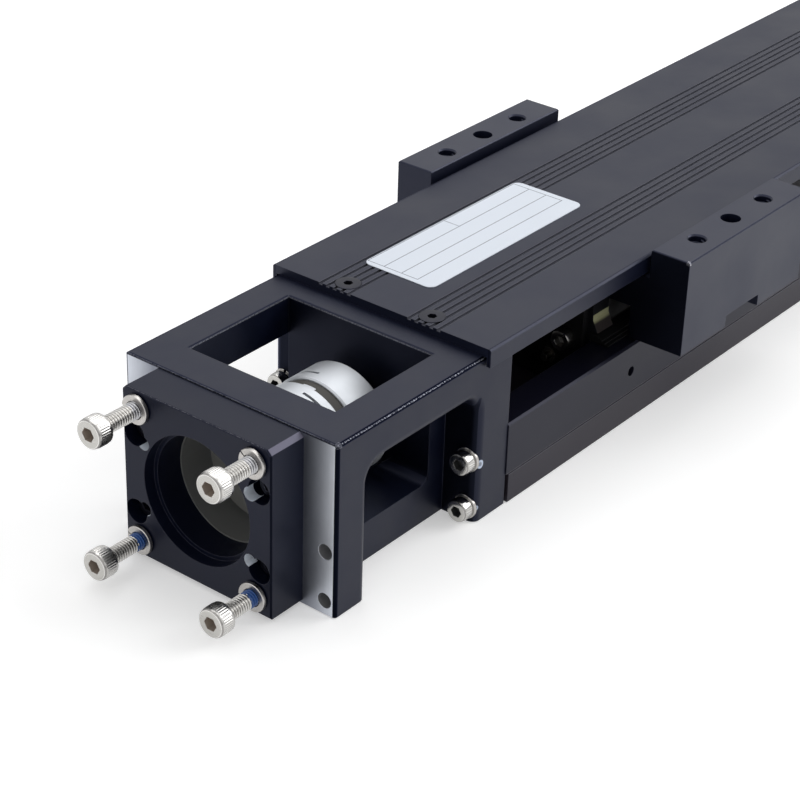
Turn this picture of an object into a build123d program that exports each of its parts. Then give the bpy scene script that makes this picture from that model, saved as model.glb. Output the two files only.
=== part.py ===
from build123d import *
from math import cos, radians
import os

# Ball screw linear stage: a U-shaped steel rail with a motor housing at the front,
# a covered carriage driven by a ball screw, and a bearing block at the rear.
# +X runs along the travel, away from the motor; +Z is up from the mounting face.
# The origin is the centre of the rail's bottom face. All lengths are millimetres.

# Rail
rail_length = 400
rail_width = 60
rail_height = 21
rail_wall = 8.3
rail_floor = 7
rail_edge_chamfer = 0.5
datum_line_height = 7.6
datum_groove_depth = 0.4
end_relief_length = 1.0
end_relief_width = 6
rail_bolt_pitch = 100
rail_bolt_count = 4
rail_bolt_spacing = 30
rail_bolt_hole_radius = 2.25
rail_bolt_head_radius = 4
rail_bolt_head_depth = 4.2
sensor_hole_radius = 1.25
sensor_hole_depth = 5
sensor_hole_height = 13.6
rail_end_thread_depth = 9

# Ball raceways between rail and carriage
ball_diameter = 3.175
race_clearance = 0.08
lower_race_height = 11.2
upper_race_height = 17.2
race_balls_per_row = 6
race_ball_pitch = 7.5

# Screw line
axis_height = 21.4
screw_diameter = 15
shaft_shoulder_diameter = 13
bearing_journal_diameter = 10
end_journal_diameter = 8
rear_shoulder_diameter = 12
thread_gap = 0.5
thread_runout = 4
end_journal_overhang = 2
shaft_fit_clearance = 0.05

# Front housing
housing_side_step = 0.3
housing_height = 42.2
front_wall = 10.2
chamber_length = 32.55
bearing_wall = 16.75
chamber_width = 41
chamber_floor = 9.8
chamber_corner_radius = 3
pocket_length = 38.1
pocket_height = 32.9
pocket_corner_radius = 4.5
pocket_edge_radius = 2
front_edge_radius = 0.8
housing_edge_chamfer = 0.5
coupling_bore_radius = 13.7
shaft_hole_radius = 8
spotface_radius = 3.1
spotface_depth = 0.8

# Motor plate
plate_width = 41.6
plate_height = 41
plate_thickness = 10
plate_top_chamfer = 1.1
plate_edge_chamfer = 0.3
pilot_radius = 15
pilot_depth = 3
plate_bore_radius = 14
motor_bolt_circle = 46
plate_fixing_offset_y = 17.5
plate_fixing_offset_z = 9.7
jack_hole_offset_y = 15
jack_hole_offset_z = 8.2
jack_hole_radius = 1.65
jack_hole_depth = 5
plate_fixing_head_depth = 6
plate_fixing_hole_depth = 9.5

# Fasteners: shank radius, head radius and head height of each thread
m3_radius = 1.5
m3_head_radius = 2.75
m3_head_height = 3
m3_socket_width = 2.5
m4_radius = 2
m4_head_radius = 3.5
m4_head_height = 4
m4_socket_width = 3
hole_clearance = 0.1
head_clearance = 0.2
screw_edge_chamfer = 0.3
socket_depth_share = 0.6

motor_screw_length = 16
motor_screw_standoff = 11.4
spring_washer_outer_radius = 3.6
spring_washer_thickness = 1
spring_washer_gap = 0.9
plate_fixing_length = 12
housing_screw_length = 18
housing_screw_inset = 2.9
housing_screw_low = 3.4
housing_screw_high = 15.6
access_hole_radius = 1.8
lock_washer_outer_radius = 3
lock_washer_thickness = 0.8

# Cover
cover_width = 62.2
cover_plate = 2.1
cover_flange_height = 4.4
cover_flange_thickness = 1.1
cover_overhang = 10.1
cover_edge_chamfer = 0.4
groove_width = 0.9
groove_depth = 0.5
groove_pitch = 2.05
groove_count = 5
groove_group_centre = 12.7
cover_screw_inset = 3.9
cover_screw_y = 12
cover_screw_length = 8
countersink_radius = 3.1
cover_screw_head_radius = 3
cover_screw_socket_width = 2

# Blank label on the cover
label_length = 60
label_width = 20
label_thickness = 0.15
label_corner_radius = 2
label_start = 4
label_centre_y = 6.1

# Carriage
carriage_setback = 77.7
block_length = 52.4
block_bottom = 7.8
block_top = 30.4
block_side_clearance = 0.4
block_edge_chamfer = 1
nut_bore_radius = 7.7
return_bore_radius = 1.8
return_bore_y = 16.6
lower_return_height = 10.8
upper_return_height = 16.3
cap_thickness = 6.5
cap_top_gap = 0.2
cap_shaft_radius = 8.2
cap_flare_width = 1.6
cap_flare_height = 3.1
seal_plate_thickness = 1.8
seal_plate_inset = 1.5
seal_plate_bore_radius = 7.9
cap_screw_y = 15.3
cap_screw_height = 20.4
cap_screw_length = 14
nipple_y = 11.3
nipple_height = 14.6
nipple_hex_width = 3.6
nipple_hex_length = 1
nipple_neck_radius = 1
nipple_length = 3

# Side seals over the rail walls
side_seal_gap = 0.35
side_seal_reach = 5.5
side_seal_thickness = 1.85
side_seal_rib = 0.4
side_seal_steps = 3
side_seal_setback = 0.6

# Carriage table with the two raised mounting arms
table_length = 54.6
arm_inner_width = 64.8
table_width = 85.6
arm_top = 46.5
wing_bottom = 22.1
wing_inner_width = 56
cover_to_table_gap = 0.7
notch_length = 15
notch_height = 3
arm_hole_pitch = 15
arm_hole_spacing = 74
arm_thread_radius = 2.1
arm_thread_depth = 12
arm_thread_countersink = 0.35
arm_dowel_radius = 2.5
arm_dowel_depth = 10
arm_edge_chamfer = 0.3
table_screw_x = 18
table_screw_y = 11
table_screw_length = 10
table_screw_head_depth = 4.4

# Front bearing pair, retainer, lock nut and collar
bearing_outer_radius = 11
bearing_width = 6
bearing_count = 2
bearing_ball_radius = 1.5
bearing_ball_count = 9
bearing_ring_wall = 2.2
bearing_inner_wall = 1.7
bearing_play = 0.08
housing_bore_clearance = 0.05
retainer_radius = 14
retainer_thickness = 2.5
retainer_spigot = 0.5
retainer_bore_radius = 7
retainer_screw_circle = 25
retainer_screw_count = 4
retainer_screw_start = 45
retainer_screw_radius = 1
retainer_screw_head_radius = 1.25
retainer_screw_head_height = 0.8
retainer_screw_length = 6
collar_length = 1
collar_radius = 6.75
lock_nut_radius = 7.2
lock_nut_length = 5
lock_nut_slot_width = 2.5
lock_nut_slot_depth = 1.2
lock_nut_slot_count = 4

# Coupling
coupling_radius = 13
front_hub_length = 17.2
rear_hub_length = 10
coupling_gap = 2.8
coupling_nut_gap = 3
motor_shaft_radius = 4
tenon_width = 3.4
tenon_height = 1.1
tenon_clearance = 0.06
tenon_crossing = 90
centre_disc_radius = 12.3
centre_disc_bore_radius = 5
hub_slit_width = 0.8
hub_slit_inset = 3
hub_slit_reach = 1.5
hub_edge_chamfer = 0.4
clamp_screw_offset = 8.5
clamp_screw_length = 11
clamp_seat_offset = 3.6
shaft_end_gap = 0.5

# Bumpers
bumper_radius = 11
bumper_bore_radius = 8.3
front_bumper_length = 4
rear_bumper_length = 5

# Rear housing and floating bearing
rear_housing_length = 20
rear_bearing_lip = 3.5
rear_lip_radius = 7
rear_bearing_radius = 9.5
rear_bearing_width = 6
rear_bearing_ball_radius = 1.5
rear_bearing_ball_count = 7
rear_ring_wall = 1.6
rear_inner_wall = 1.4
circlip_radius = 5.4
circlip_thickness = 0.9
circlip_gap = 2.2
circlip_groove_depth = 0.4
circlip_clearance = 0.02
plug_disc = 2.5
plug_wall = 0.9
plug_recess = 0.5
rear_screw_length = 22
rear_counterbore_depth = 3.5

# Places worked out from the sizes above
sides = (-1, 1)
rail_front = -rail_length / 2
rail_rear = rail_length / 2
housing_width = rail_width - 2 * housing_side_step
front_housing_length = front_wall + chamber_length + bearing_wall
housing_front = rail_front - front_housing_length
chamber_rear = housing_front + front_wall + chamber_length
pocket_rear = housing_front + front_wall + pocket_length
rear_face = rail_rear + rear_housing_length
carriage_position = rail_front + carriage_setback
channel_width = rail_width - 2 * rail_wall
block_width = channel_width - 2 * block_side_clearance
race_y = (channel_width + block_width) / 4
race_radius = ball_diameter / 2 + race_clearance
race_heights = (lower_race_height, upper_race_height)
return_heights = (lower_return_height, upper_return_height)
screw_radius = screw_diameter / 2
shoulder_radius = shaft_shoulder_diameter / 2
rear_shoulder_radius = rear_shoulder_diameter / 2
bearing_journal_radius = bearing_journal_diameter / 2
end_journal_radius = end_journal_diameter / 2
circlip_seat_radius = end_journal_radius - circlip_groove_depth
motor_bolt_offset = motor_bolt_circle / 2 * cos(radians(45))
cover_top = housing_height + cover_plate
cover_front = rail_front - cover_overhang
cover_length = rail_length + 2 * cover_overhang
cover_screw_front = cover_front + cover_screw_inset
cover_screw_rear = cover_front + cover_length - cover_screw_inset
bearing_front = rail_front - retainer_spigot - bearing_count * bearing_width
lock_nut_front = bearing_front - collar_length - lock_nut_length
rear_hub_front = lock_nut_front - coupling_nut_gap - rear_hub_length
centre_disc_front = rear_hub_front - coupling_gap
coupling_front = centre_disc_front - front_hub_length
rear_hub_end = rear_hub_front + rear_hub_length
front_hub_place = Plane(origin=(coupling_front, 0, axis_height), x_dir=(0, -1, 0), z_dir=(1, 0, 0))
rear_hub_place = Plane(origin=(rear_hub_end, 0, axis_height), x_dir=(0, 1, 0), z_dir=(-1, 0, 0))
block_front = carriage_position - block_length / 2
block_rear = carriage_position + block_length / 2
slider_half = block_length / 2 + cap_thickness + seal_plate_thickness
table_web_top = cover_top - cover_flange_height - cover_to_table_gap
arm_mouth_radius = arm_thread_radius + arm_thread_countersink
rear_bearing_front = rail_rear + rear_bearing_lip
rear_bearing_rear = rear_bearing_front + rear_bearing_width
plug_length = rear_face - plug_recess - rear_bearing_rear
front_ball_circle = (bearing_outer_radius + bearing_journal_radius) / 2
rear_ball_circle = (rear_bearing_radius + end_journal_radius) / 2
bearing_places = [bearing_front + i * bearing_width for i in range(bearing_count)]
housing_screw_y = housing_width / 2 - housing_screw_inset
housing_screw_heights = (housing_screw_low, housing_screw_high)
housing_screw_places = [(side * housing_screw_y, z) for side in sides for z in housing_screw_heights]
race_places = [(side * race_y, height) for side in sides for height in race_heights]
return_places = [(side * return_bore_y, height) for side in sides for height in return_heights]
cap_screw_places = [(side * cap_screw_y, cap_screw_height) for side in sides]
front_cover_screws = [(cover_screw_front, side * cover_screw_y) for side in sides]
rear_cover_screws = [(cover_screw_rear, side * cover_screw_y) for side in sides]
side_hole_start = -(rail_bolt_count - 1) / 2 * rail_bolt_pitch
side_hole_starts = [side_hole_start + i * rail_bolt_pitch for i in range(rail_bolt_count)]
side_hole_places = [(x, sensor_hole_height) for x in side_hole_starts]
low = (Align.CENTER, Align.CENTER, Align.MIN)
high = (Align.CENTER, Align.CENTER, Align.MAX)
upward = (Align.CENTER, Align.MIN)


def facing_front(x, z=0):
    """Plane across the travel at x, seen from the motor end: local y is up, local z is -X."""
    return Plane(origin=(x, 0, z), x_dir=(0, -1, 0), z_dir=(-1, 0, 0))


def facing_rear(x, z=0):
    """Plane across the travel at x, seen from the far end: local y is up, local z is +X."""
    return Plane(origin=(x, 0, z), x_dir=(0, 1, 0), z_dir=(1, 0, 0))


def socket_screw(radius, head_radius, head_height, length, socket_width):
    """Socket head cap screw with its under-head plane at z = 0 and its head upwards."""
    with BuildPart() as screw:
        Cylinder(head_radius, head_height, align=low)
        chamfer(screw.edges().group_by(Axis.Z)[-1], length=screw_edge_chamfer)
        with BuildSketch(Plane.XY.offset(head_height)):
            RegularPolygon(radius=socket_width / 2, side_count=6, major_radius=False)
        extrude(amount=-head_height * socket_depth_share, mode=Mode.SUBTRACT)
        Cylinder(radius, length, align=high)
        chamfer(screw.edges().group_by(Axis.Z)[0], length=screw_edge_chamfer)
    return screw.part


def countersunk_screw(radius, head_radius, length, socket_width):
    """Countersunk screw with the top of its head at z = 0."""
    with BuildPart() as screw:
        with BuildSketch(Plane.XZ):
            with BuildLine():
                Polyline(
                    (0, 0),
                    (head_radius, 0),
                    (radius, radius - head_radius),
                    (radius, -length),
                    (0, -length),
                    close=True,
                )
            make_face()
        revolve(axis=Axis.Z)
        with BuildSketch():
            RegularPolygon(radius=socket_width / 2, side_count=6, major_radius=False)
        extrude(amount=-socket_width * socket_depth_share, mode=Mode.SUBTRACT)
    return screw.part


def spring_washer(bore_radius, outer_radius, thickness):
    """Split spring washer standing on z = 0, its gap towards +Y."""
    with BuildPart() as washer:
        Cylinder(outer_radius, thickness, align=low)
        Cylinder(bore_radius, thickness, align=low, mode=Mode.SUBTRACT)
        with Locations((0, outer_radius, thickness / 2)):
            Box(spring_washer_gap, 2 * outer_radius - bore_radius, thickness, mode=Mode.SUBTRACT)
    return washer.part


def bearing_ring(outer_radius, inner_radius, length, groove_radius, ball_circle_radius):
    """Bearing ring from z = 0 to z = length with its ball groove at mid-length."""
    with BuildPart() as race:
        Cylinder(outer_radius, length, align=low)
        Cylinder(inner_radius, length, align=low, mode=Mode.SUBTRACT)
        with Locations((0, 0, length / 2)):
            Torus(ball_circle_radius, groove_radius, mode=Mode.SUBTRACT)
    return race.part


def bearing_ball_set(radius, circle_radius, count, height):
    """Set of bearing balls on one circle, their centres at z = height."""
    with BuildPart() as balls:
        with Locations((0, 0, height)):
            with PolarLocations(circle_radius, count):
                Sphere(radius)
    return balls.part


# Rail: U section with two ball grooves in each inner wall
with BuildPart() as rail:
    with BuildSketch(facing_rear(rail_front)):
        with Locations((0, rail_height / 2)):
            Rectangle(rail_width, rail_height)
        with Locations((0, (rail_floor + rail_height) / 2)):
            Rectangle(channel_width, rail_height - rail_floor, mode=Mode.SUBTRACT)
        with Locations(*race_places):
            Circle(race_radius, mode=Mode.SUBTRACT)
        with Locations(*[(side * rail_width / 2, datum_line_height) for side in sides]):
            Rectangle(datum_groove_depth * 2, datum_groove_depth, mode=Mode.SUBTRACT)
    extrude(amount=rail_length)
    top_edges = rail.edges().filter_by(Axis.X).group_by(Axis.Z)[-1]
    chamfer(top_edges.group_by(Axis.Y)[0] + top_edges.group_by(Axis.Y)[-1], length=rail_edge_chamfer)
    with BuildSketch(facing_rear(rail_front)):
        with Locations((0, datum_line_height / 2)):
            with GridLocations(rail_width - end_relief_width, 0, 2, 1):
                Rectangle(end_relief_width, datum_line_height)
    extrude(amount=end_relief_length, mode=Mode.SUBTRACT)
    with Locations(Plane.XY.offset(rail_floor)):
        with GridLocations(rail_bolt_pitch, rail_bolt_spacing, rail_bolt_count, 2):
            CounterBoreHole(
                rail_bolt_hole_radius,
                rail_bolt_head_radius,
                rail_bolt_head_depth,
                depth=rail_floor,
            )
    with Locations(facing_front(rail_front), facing_rear(rail_rear)):
        with Locations(*housing_screw_places):
            Hole(m3_radius + hole_clearance, depth=rail_end_thread_depth)
    for side in sides:
        with BuildSketch(Plane.XZ.offset(side * rail_width / 2)):
            with Locations(*side_hole_places):
                Circle(sensor_hole_radius)
        extrude(amount=-side * sensor_hole_depth, mode=Mode.SUBTRACT)

# Front housing: coupling chamber open at the top and sides, with the bearing seat behind it
with BuildPart() as front_housing:
    with BuildSketch(facing_rear(housing_front)):
        with Locations((0, housing_height / 2)):
            Rectangle(housing_width, housing_height)
    extrude(amount=front_housing_length)
    long_edges = front_housing.edges().filter_by(Axis.X).group_by(Axis.Z)[-1]
    chamfer(long_edges, length=housing_edge_chamfer)
    for side in sides:
        with BuildSketch(Plane.XZ.offset(side * housing_width / 2)) as pocket:
            with Locations((housing_front + front_wall, 0)):
                Rectangle(pocket_length, pocket_height, align=(Align.MIN, Align.MIN))
            fillet(pocket.vertices().group_by(Axis.Y)[-1], radius=pocket_corner_radius)
        extrude(amount=-side * (housing_width - chamber_width) / 2, mode=Mode.SUBTRACT)
    upright_edges = front_housing.edges().filter_by(Axis.Z)
    outer_uprights = upright_edges.group_by(Axis.Y)[0] + upright_edges.group_by(Axis.Y)[-1]
    pocket_rear_edges = outer_uprights.group_by(Axis.X)[2]
    front_edges = outer_uprights.group_by(Axis.X)[0] + outer_uprights.group_by(Axis.X)[1]
    fillet(pocket_rear_edges, radius=pocket_edge_radius)
    fillet(front_edges, radius=front_edge_radius)
    with BuildSketch(Plane.XZ) as chamber:
        with Locations((housing_front + front_wall, chamber_floor)):
            Rectangle(chamber_length, housing_height - chamber_floor, align=(Align.MIN, Align.MIN))
        fillet(chamber.vertices().group_by(Axis.Y)[0], radius=chamber_corner_radius)
    extrude(amount=chamber_width / 2, both=True, mode=Mode.SUBTRACT)
    with Locations(facing_front(housing_front, axis_height)):
        Hole(coupling_bore_radius, depth=front_wall + chamber_length)
        with GridLocations(2 * plate_fixing_offset_y, 2 * plate_fixing_offset_z, 2, 2):
            Hole(m3_radius + hole_clearance, depth=plate_fixing_hole_depth)
    with Locations(facing_front(housing_front)):
        with Locations(*housing_screw_places):
            Hole(access_hole_radius, depth=front_wall)
    with Locations(facing_rear(rail_front, axis_height)):
        CounterBoreHole(
            shaft_hole_radius,
            bearing_outer_radius + housing_bore_clearance,
            rail_front - bearing_front,
            depth=rail_front - chamber_rear,
        )
        with PolarLocations(retainer_screw_circle / 2, retainer_screw_count, retainer_screw_start):
            Hole(retainer_screw_radius + hole_clearance, depth=retainer_screw_length)
    with Locations(facing_front(pocket_rear)):
        with Locations(*housing_screw_places):
            CounterBoreHole(
                m3_radius + hole_clearance,
                spotface_radius,
                spotface_depth,
                depth=rail_front - pocket_rear,
            )
    with Locations(Plane.XY.offset(housing_height)):
        with Locations(*front_cover_screws):
            Hole(m3_radius + hole_clearance, depth=cover_screw_length)

# Motor plate: pilot bore, four tapped motor holes, recessed fixings and jacking holes
with BuildPart() as motor_plate:
    with BuildSketch(facing_front(housing_front, axis_height)):
        Rectangle(plate_width, plate_height)
    extrude(amount=plate_thickness)
    chamfer(motor_plate.edges().filter_by(Axis.X).group_by(Axis.Z)[-1], length=plate_top_chamfer)
    chamfer(motor_plate.faces().sort_by(Axis.X)[0].edges(), length=plate_edge_chamfer)
    with Locations(facing_front(housing_front - plate_thickness, axis_height)):
        CounterBoreHole(plate_bore_radius, pilot_radius, pilot_depth, depth=plate_thickness)
        with GridLocations(2 * motor_bolt_offset, 2 * motor_bolt_offset, 2, 2):
            Hole(m4_radius + hole_clearance, depth=plate_thickness)
        with GridLocations(2 * plate_fixing_offset_y, 2 * plate_fixing_offset_z, 2, 2):
            CounterBoreHole(
                m3_radius + hole_clearance,
                m3_head_radius + head_clearance,
                plate_fixing_head_depth,
                depth=plate_thickness,
            )
        with GridLocations(2 * jack_hole_offset_y, 2 * jack_hole_offset_z, 2, 2):
            Hole(jack_hole_radius, depth=jack_hole_depth)

with BuildPart() as plate_fixing_screws:
    with Locations(facing_front(housing_front - plate_thickness + plate_fixing_head_depth, axis_height)):
        with GridLocations(2 * plate_fixing_offset_y, 2 * plate_fixing_offset_z, 2, 2):
            add(
                socket_screw(
                    m3_radius,
                    m3_head_radius,
                    m3_head_height,
                    plate_fixing_length,
                    m3_socket_width,
                )
            )

# Motor screws, left drawn out for the motor flange
with BuildPart() as motor_screws:
    with Locations(facing_front(housing_front - plate_thickness - motor_screw_standoff, axis_height)):
        with GridLocations(2 * motor_bolt_offset, 2 * motor_bolt_offset, 2, 2):
            add(
                socket_screw(
                    m4_radius,
                    m4_head_radius,
                    m4_head_height,
                    motor_screw_length,
                    m4_socket_width,
                )
            )

with BuildPart() as motor_spring_washers:
    with Locations(facing_front(housing_front - plate_thickness, axis_height)):
        with GridLocations(2 * motor_bolt_offset, 2 * motor_bolt_offset, 2, 2):
            add(
                spring_washer(
                    m4_radius + hole_clearance,
                    spring_washer_outer_radius,
                    spring_washer_thickness,
                )
            )

# Screws that hold the front housing to the rail's end, reached through the front wall's access holes
with BuildPart() as front_housing_screws:
    with Locations(facing_front(pocket_rear + spotface_depth - lock_washer_thickness)):
        with Locations(*housing_screw_places):
            add(
                socket_screw(
                    m3_radius,
                    m3_head_radius,
                    m3_head_height,
                    housing_screw_length,
                    m3_socket_width,
                )
            )

with BuildPart() as front_housing_washers:
    with Locations(facing_front(pocket_rear + spotface_depth)):
        with Locations(*housing_screw_places):
            add(spring_washer(m3_radius + hole_clearance, lock_washer_outer_radius, lock_washer_thickness))

# Front bearing pair, stacked between the housing's lip and the retainer
with BuildPart() as bearing_outer_rings:
    with Locations(*[facing_rear(x, axis_height) for x in bearing_places]):
        add(
            bearing_ring(
                bearing_outer_radius,
                bearing_outer_radius - bearing_ring_wall,
                bearing_width,
                bearing_ball_radius + bearing_play,
                front_ball_circle,
            )
        )

with BuildPart() as bearing_inner_rings:
    with Locations(*[facing_rear(x, axis_height) for x in bearing_places]):
        add(
            bearing_ring(
                bearing_journal_radius + shaft_fit_clearance + bearing_inner_wall,
                bearing_journal_radius + shaft_fit_clearance,
                bearing_width,
                bearing_ball_radius + bearing_play,
                front_ball_circle,
            )
        )

with BuildPart() as bearing_balls:
    with Locations(*[facing_rear(x, axis_height) for x in bearing_places]):
        add(
            bearing_ball_set(
                bearing_ball_radius,
                front_ball_circle,
                bearing_ball_count,
                bearing_width / 2,
            )
        )

with BuildPart() as bearing_retainer:
    with Locations(facing_rear(rail_front, axis_height)):
        Cylinder(retainer_radius, retainer_thickness, align=low)
        Cylinder(bearing_outer_radius - housing_bore_clearance, retainer_spigot, align=high)
        Cylinder(retainer_bore_radius, 2 * (retainer_thickness + retainer_spigot), mode=Mode.SUBTRACT)
        with PolarLocations(retainer_screw_circle / 2, retainer_screw_count, retainer_screw_start):
            Cylinder(
                retainer_screw_radius + hole_clearance,
                2 * retainer_thickness,
                mode=Mode.SUBTRACT,
            )

with BuildPart() as retainer_screws:
    with Locations(facing_rear(rail_front + retainer_thickness, axis_height)):
        with PolarLocations(retainer_screw_circle / 2, retainer_screw_count, retainer_screw_start):
            Cylinder(retainer_screw_head_radius, retainer_screw_head_height, align=low)
            Cylinder(retainer_screw_radius, retainer_screw_length, align=high)

# Rear housing: floating bearing seat, closed by a plug
with BuildPart() as rear_housing:
    with BuildSketch(facing_rear(rail_rear)):
        with Locations((0, housing_height / 2)):
            Rectangle(housing_width, housing_height)
    extrude(amount=rear_housing_length)
    rear_outline = rear_housing.faces().sort_by(Axis.X)[-1].edges()
    chamfer(rear_outline, length=housing_edge_chamfer)
    chamfer(rear_housing.edges().filter_by(Axis.X).group_by(Axis.Z)[-1], length=housing_edge_chamfer)
    with Locations(facing_rear(rear_face, axis_height)):
        CounterBoreHole(
            rear_lip_radius,
            rear_bearing_radius + housing_bore_clearance,
            rear_face - rear_bearing_front,
            depth=rear_housing_length,
        )
    with Locations(facing_rear(rear_face)):
        with Locations(*housing_screw_places):
            CounterBoreHole(
                m3_radius + hole_clearance,
                m3_head_radius + head_clearance / 2,
                rear_counterbore_depth,
                depth=rear_housing_length,
            )
    with Locations(Plane.XY.offset(housing_height)):
        with Locations(*rear_cover_screws):
            Hole(m3_radius + hole_clearance, depth=cover_screw_length)

with BuildPart() as rear_housing_screws:
    with Locations(facing_rear(rear_face - rear_counterbore_depth)):
        with Locations(*housing_screw_places):
            add(
                socket_screw(
                    m3_radius,
                    m3_head_radius,
                    m3_head_height,
                    rear_screw_length,
                    m3_socket_width,
                )
            )

with BuildPart() as rear_bearing_outer_ring:
    with Locations(facing_rear(rear_bearing_front, axis_height)):
        add(
            bearing_ring(
                rear_bearing_radius,
                rear_bearing_radius - rear_ring_wall,
                rear_bearing_width,
                rear_bearing_ball_radius + bearing_play,
                rear_ball_circle,
            )
        )

with BuildPart() as rear_bearing_inner_ring:
    with Locations(facing_rear(rear_bearing_front, axis_height)):
        add(
            bearing_ring(
                end_journal_radius + shaft_fit_clearance + rear_inner_wall,
                end_journal_radius + shaft_fit_clearance,
                rear_bearing_width,
                rear_bearing_ball_radius + bearing_play,
                rear_ball_circle,
            )
        )

with BuildPart() as rear_bearing_balls:
    with Locations(facing_rear(rear_bearing_front, axis_height)):
        add(
            bearing_ball_set(
                rear_bearing_ball_radius,
                rear_ball_circle,
                rear_bearing_ball_count,
                rear_bearing_width / 2,
            )
        )

with BuildPart() as rear_bore_plug:
    with Locations(facing_rear(rear_bearing_rear, axis_height)):
        Cylinder(rear_bearing_radius, plug_length, align=low)
        Cylinder(rear_bearing_radius - plug_wall, plug_length - plug_disc, align=low, mode=Mode.SUBTRACT)

# Cover: extruded channel with two groups of fine grooves
with BuildPart() as cover:
    with BuildSketch(facing_rear(cover_front)) as cover_section:
        with Locations((0, cover_top - cover_flange_height / 2)):
            Rectangle(cover_width, cover_flange_height)
        chamfer(cover_section.vertices().group_by(Axis.Y)[-1], length=cover_edge_chamfer)
        with Locations((0, cover_top - (cover_plate + cover_flange_height) / 2)):
            Rectangle(
                cover_width - 2 * cover_flange_thickness,
                cover_flange_height - cover_plate,
                mode=Mode.SUBTRACT,
            )
        with Locations(*[(side * groove_group_centre, cover_top) for side in sides]):
            with GridLocations(groove_pitch, 0, groove_count, 1):
                Rectangle(groove_width, 2 * groove_depth, mode=Mode.SUBTRACT)
    extrude(amount=cover_length)
    with Locations(Plane.XY.offset(cover_top)):
        with Locations(*front_cover_screws, *rear_cover_screws):
            CounterSinkHole(
                m3_radius + hole_clearance,
                countersink_radius,
                depth=cover_plate,
                counter_sink_angle=90,
            )

with BuildPart() as cover_screws_front:
    with Locations(Plane.XY.offset(cover_top)):
        with Locations(*front_cover_screws):
            add(
                countersunk_screw(
                    m3_radius,
                    cover_screw_head_radius,
                    cover_screw_length,
                    cover_screw_socket_width,
                )
            )

with BuildPart() as cover_screws_rear:
    with Locations(Plane.XY.offset(cover_top)):
        with Locations(*rear_cover_screws):
            add(
                countersunk_screw(
                    m3_radius,
                    cover_screw_head_radius,
                    cover_screw_length,
                    cover_screw_socket_width,
                )
            )

with BuildPart() as blank_label:
    with BuildSketch(Plane.XY.offset(cover_top)):
        with Locations((rail_front + label_start + label_length / 2, label_centre_y)):
            RectangleRounded(label_length, label_width, label_corner_radius)
    extrude(amount=label_thickness)

# Ball screw shaft, plain at the thread's outside diameter
with BuildPart() as ball_screw:
    thread_front = rail_front + retainer_thickness + thread_gap
    thread_rear = rail_rear - thread_runout
    shaft_steps = (
        (rear_hub_front - shaft_end_gap, lock_nut_front, end_journal_radius),
        (lock_nut_front, rail_front - retainer_spigot, bearing_journal_radius),
        (rail_front - retainer_spigot, thread_front, shoulder_radius),
        (thread_front, thread_rear, screw_radius),
        (thread_rear, rear_bearing_front, rear_shoulder_radius),
        (rear_bearing_front, rear_bearing_rear + end_journal_overhang, end_journal_radius),
    )
    for start, end, radius in shaft_steps:
        with Locations(facing_rear(start, axis_height)):
            Cylinder(radius, end - start, align=low)
    with Locations(facing_rear(rear_bearing_rear, axis_height)):
        Cylinder(end_journal_radius, circlip_thickness, align=low, mode=Mode.SUBTRACT)
        Cylinder(circlip_seat_radius, circlip_thickness, align=low)

with BuildPart() as rear_circlip:
    with Locations(facing_rear(rear_bearing_rear, axis_height)):
        Cylinder(circlip_radius, circlip_thickness, align=low)
        Cylinder(circlip_seat_radius + circlip_clearance, circlip_thickness, align=low, mode=Mode.SUBTRACT)
        with Locations((0, circlip_radius, circlip_thickness / 2)):
            Box(circlip_gap, circlip_radius, circlip_thickness, mode=Mode.SUBTRACT)

with BuildPart() as bearing_collar:
    with Locations(facing_rear(bearing_front - collar_length, axis_height)):
        Cylinder(collar_radius, collar_length, align=low)
        Cylinder(bearing_journal_radius + shaft_fit_clearance, collar_length, align=low, mode=Mode.SUBTRACT)

with BuildPart() as lock_nut:
    with Locations(facing_rear(lock_nut_front, axis_height)):
        Cylinder(lock_nut_radius, lock_nut_length, align=low)
        Cylinder(bearing_journal_radius + shaft_fit_clearance, lock_nut_length, align=low, mode=Mode.SUBTRACT)
        with PolarLocations(lock_nut_radius, lock_nut_slot_count):
            Box(2 * lock_nut_slot_depth, lock_nut_slot_width, lock_nut_length, align=low, mode=Mode.SUBTRACT)


def coupling_hub(length, bore_radius, tenon_turn):
    """Clamping hub from z = 0 with its tenon above the top face and its clamp slit towards +X."""
    slit_height = length - hub_slit_inset
    half_disc = (Align.MIN, Align.CENTER, Align.CENTER)
    with BuildPart() as hub:
        Cylinder(coupling_radius, length, align=low)
        chamfer(hub.edges(), length=hub_edge_chamfer)
        with BuildSketch(Plane.XY.offset(length).rotated((0, 0, tenon_turn))):
            Rectangle(2 * coupling_radius, tenon_width)
            Circle(centre_disc_radius, mode=Mode.INTERSECT)
        extrude(amount=tenon_height)
        Cylinder(bore_radius, 2 * (length + tenon_height), mode=Mode.SUBTRACT)
        with Locations((hub_slit_reach, 0, slit_height)):
            Box(coupling_radius, 2 * coupling_radius, hub_slit_width, align=half_disc, mode=Mode.SUBTRACT)
        Box(coupling_radius, hub_slit_width, 2 * slit_height, align=half_disc, mode=Mode.SUBTRACT)
        with Locations(clamp_screw_seat(length)):
            Cylinder(m3_radius + hole_clearance, 2 * coupling_radius, mode=Mode.SUBTRACT)
            Cylinder(m3_head_radius + head_clearance, coupling_radius, align=low, mode=Mode.SUBTRACT)
    return hub.part


def clamp_screw_seat(length):
    """Seat of a hub's clamp screw, which runs across the slit in the middle of the clamp band."""
    seat_point = (clamp_screw_offset, clamp_seat_offset, (length - hub_slit_inset - hub_slit_width / 2) / 2)
    return Plane(origin=seat_point, x_dir=(1, 0, 0), z_dir=(0, 1, 0))


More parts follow.
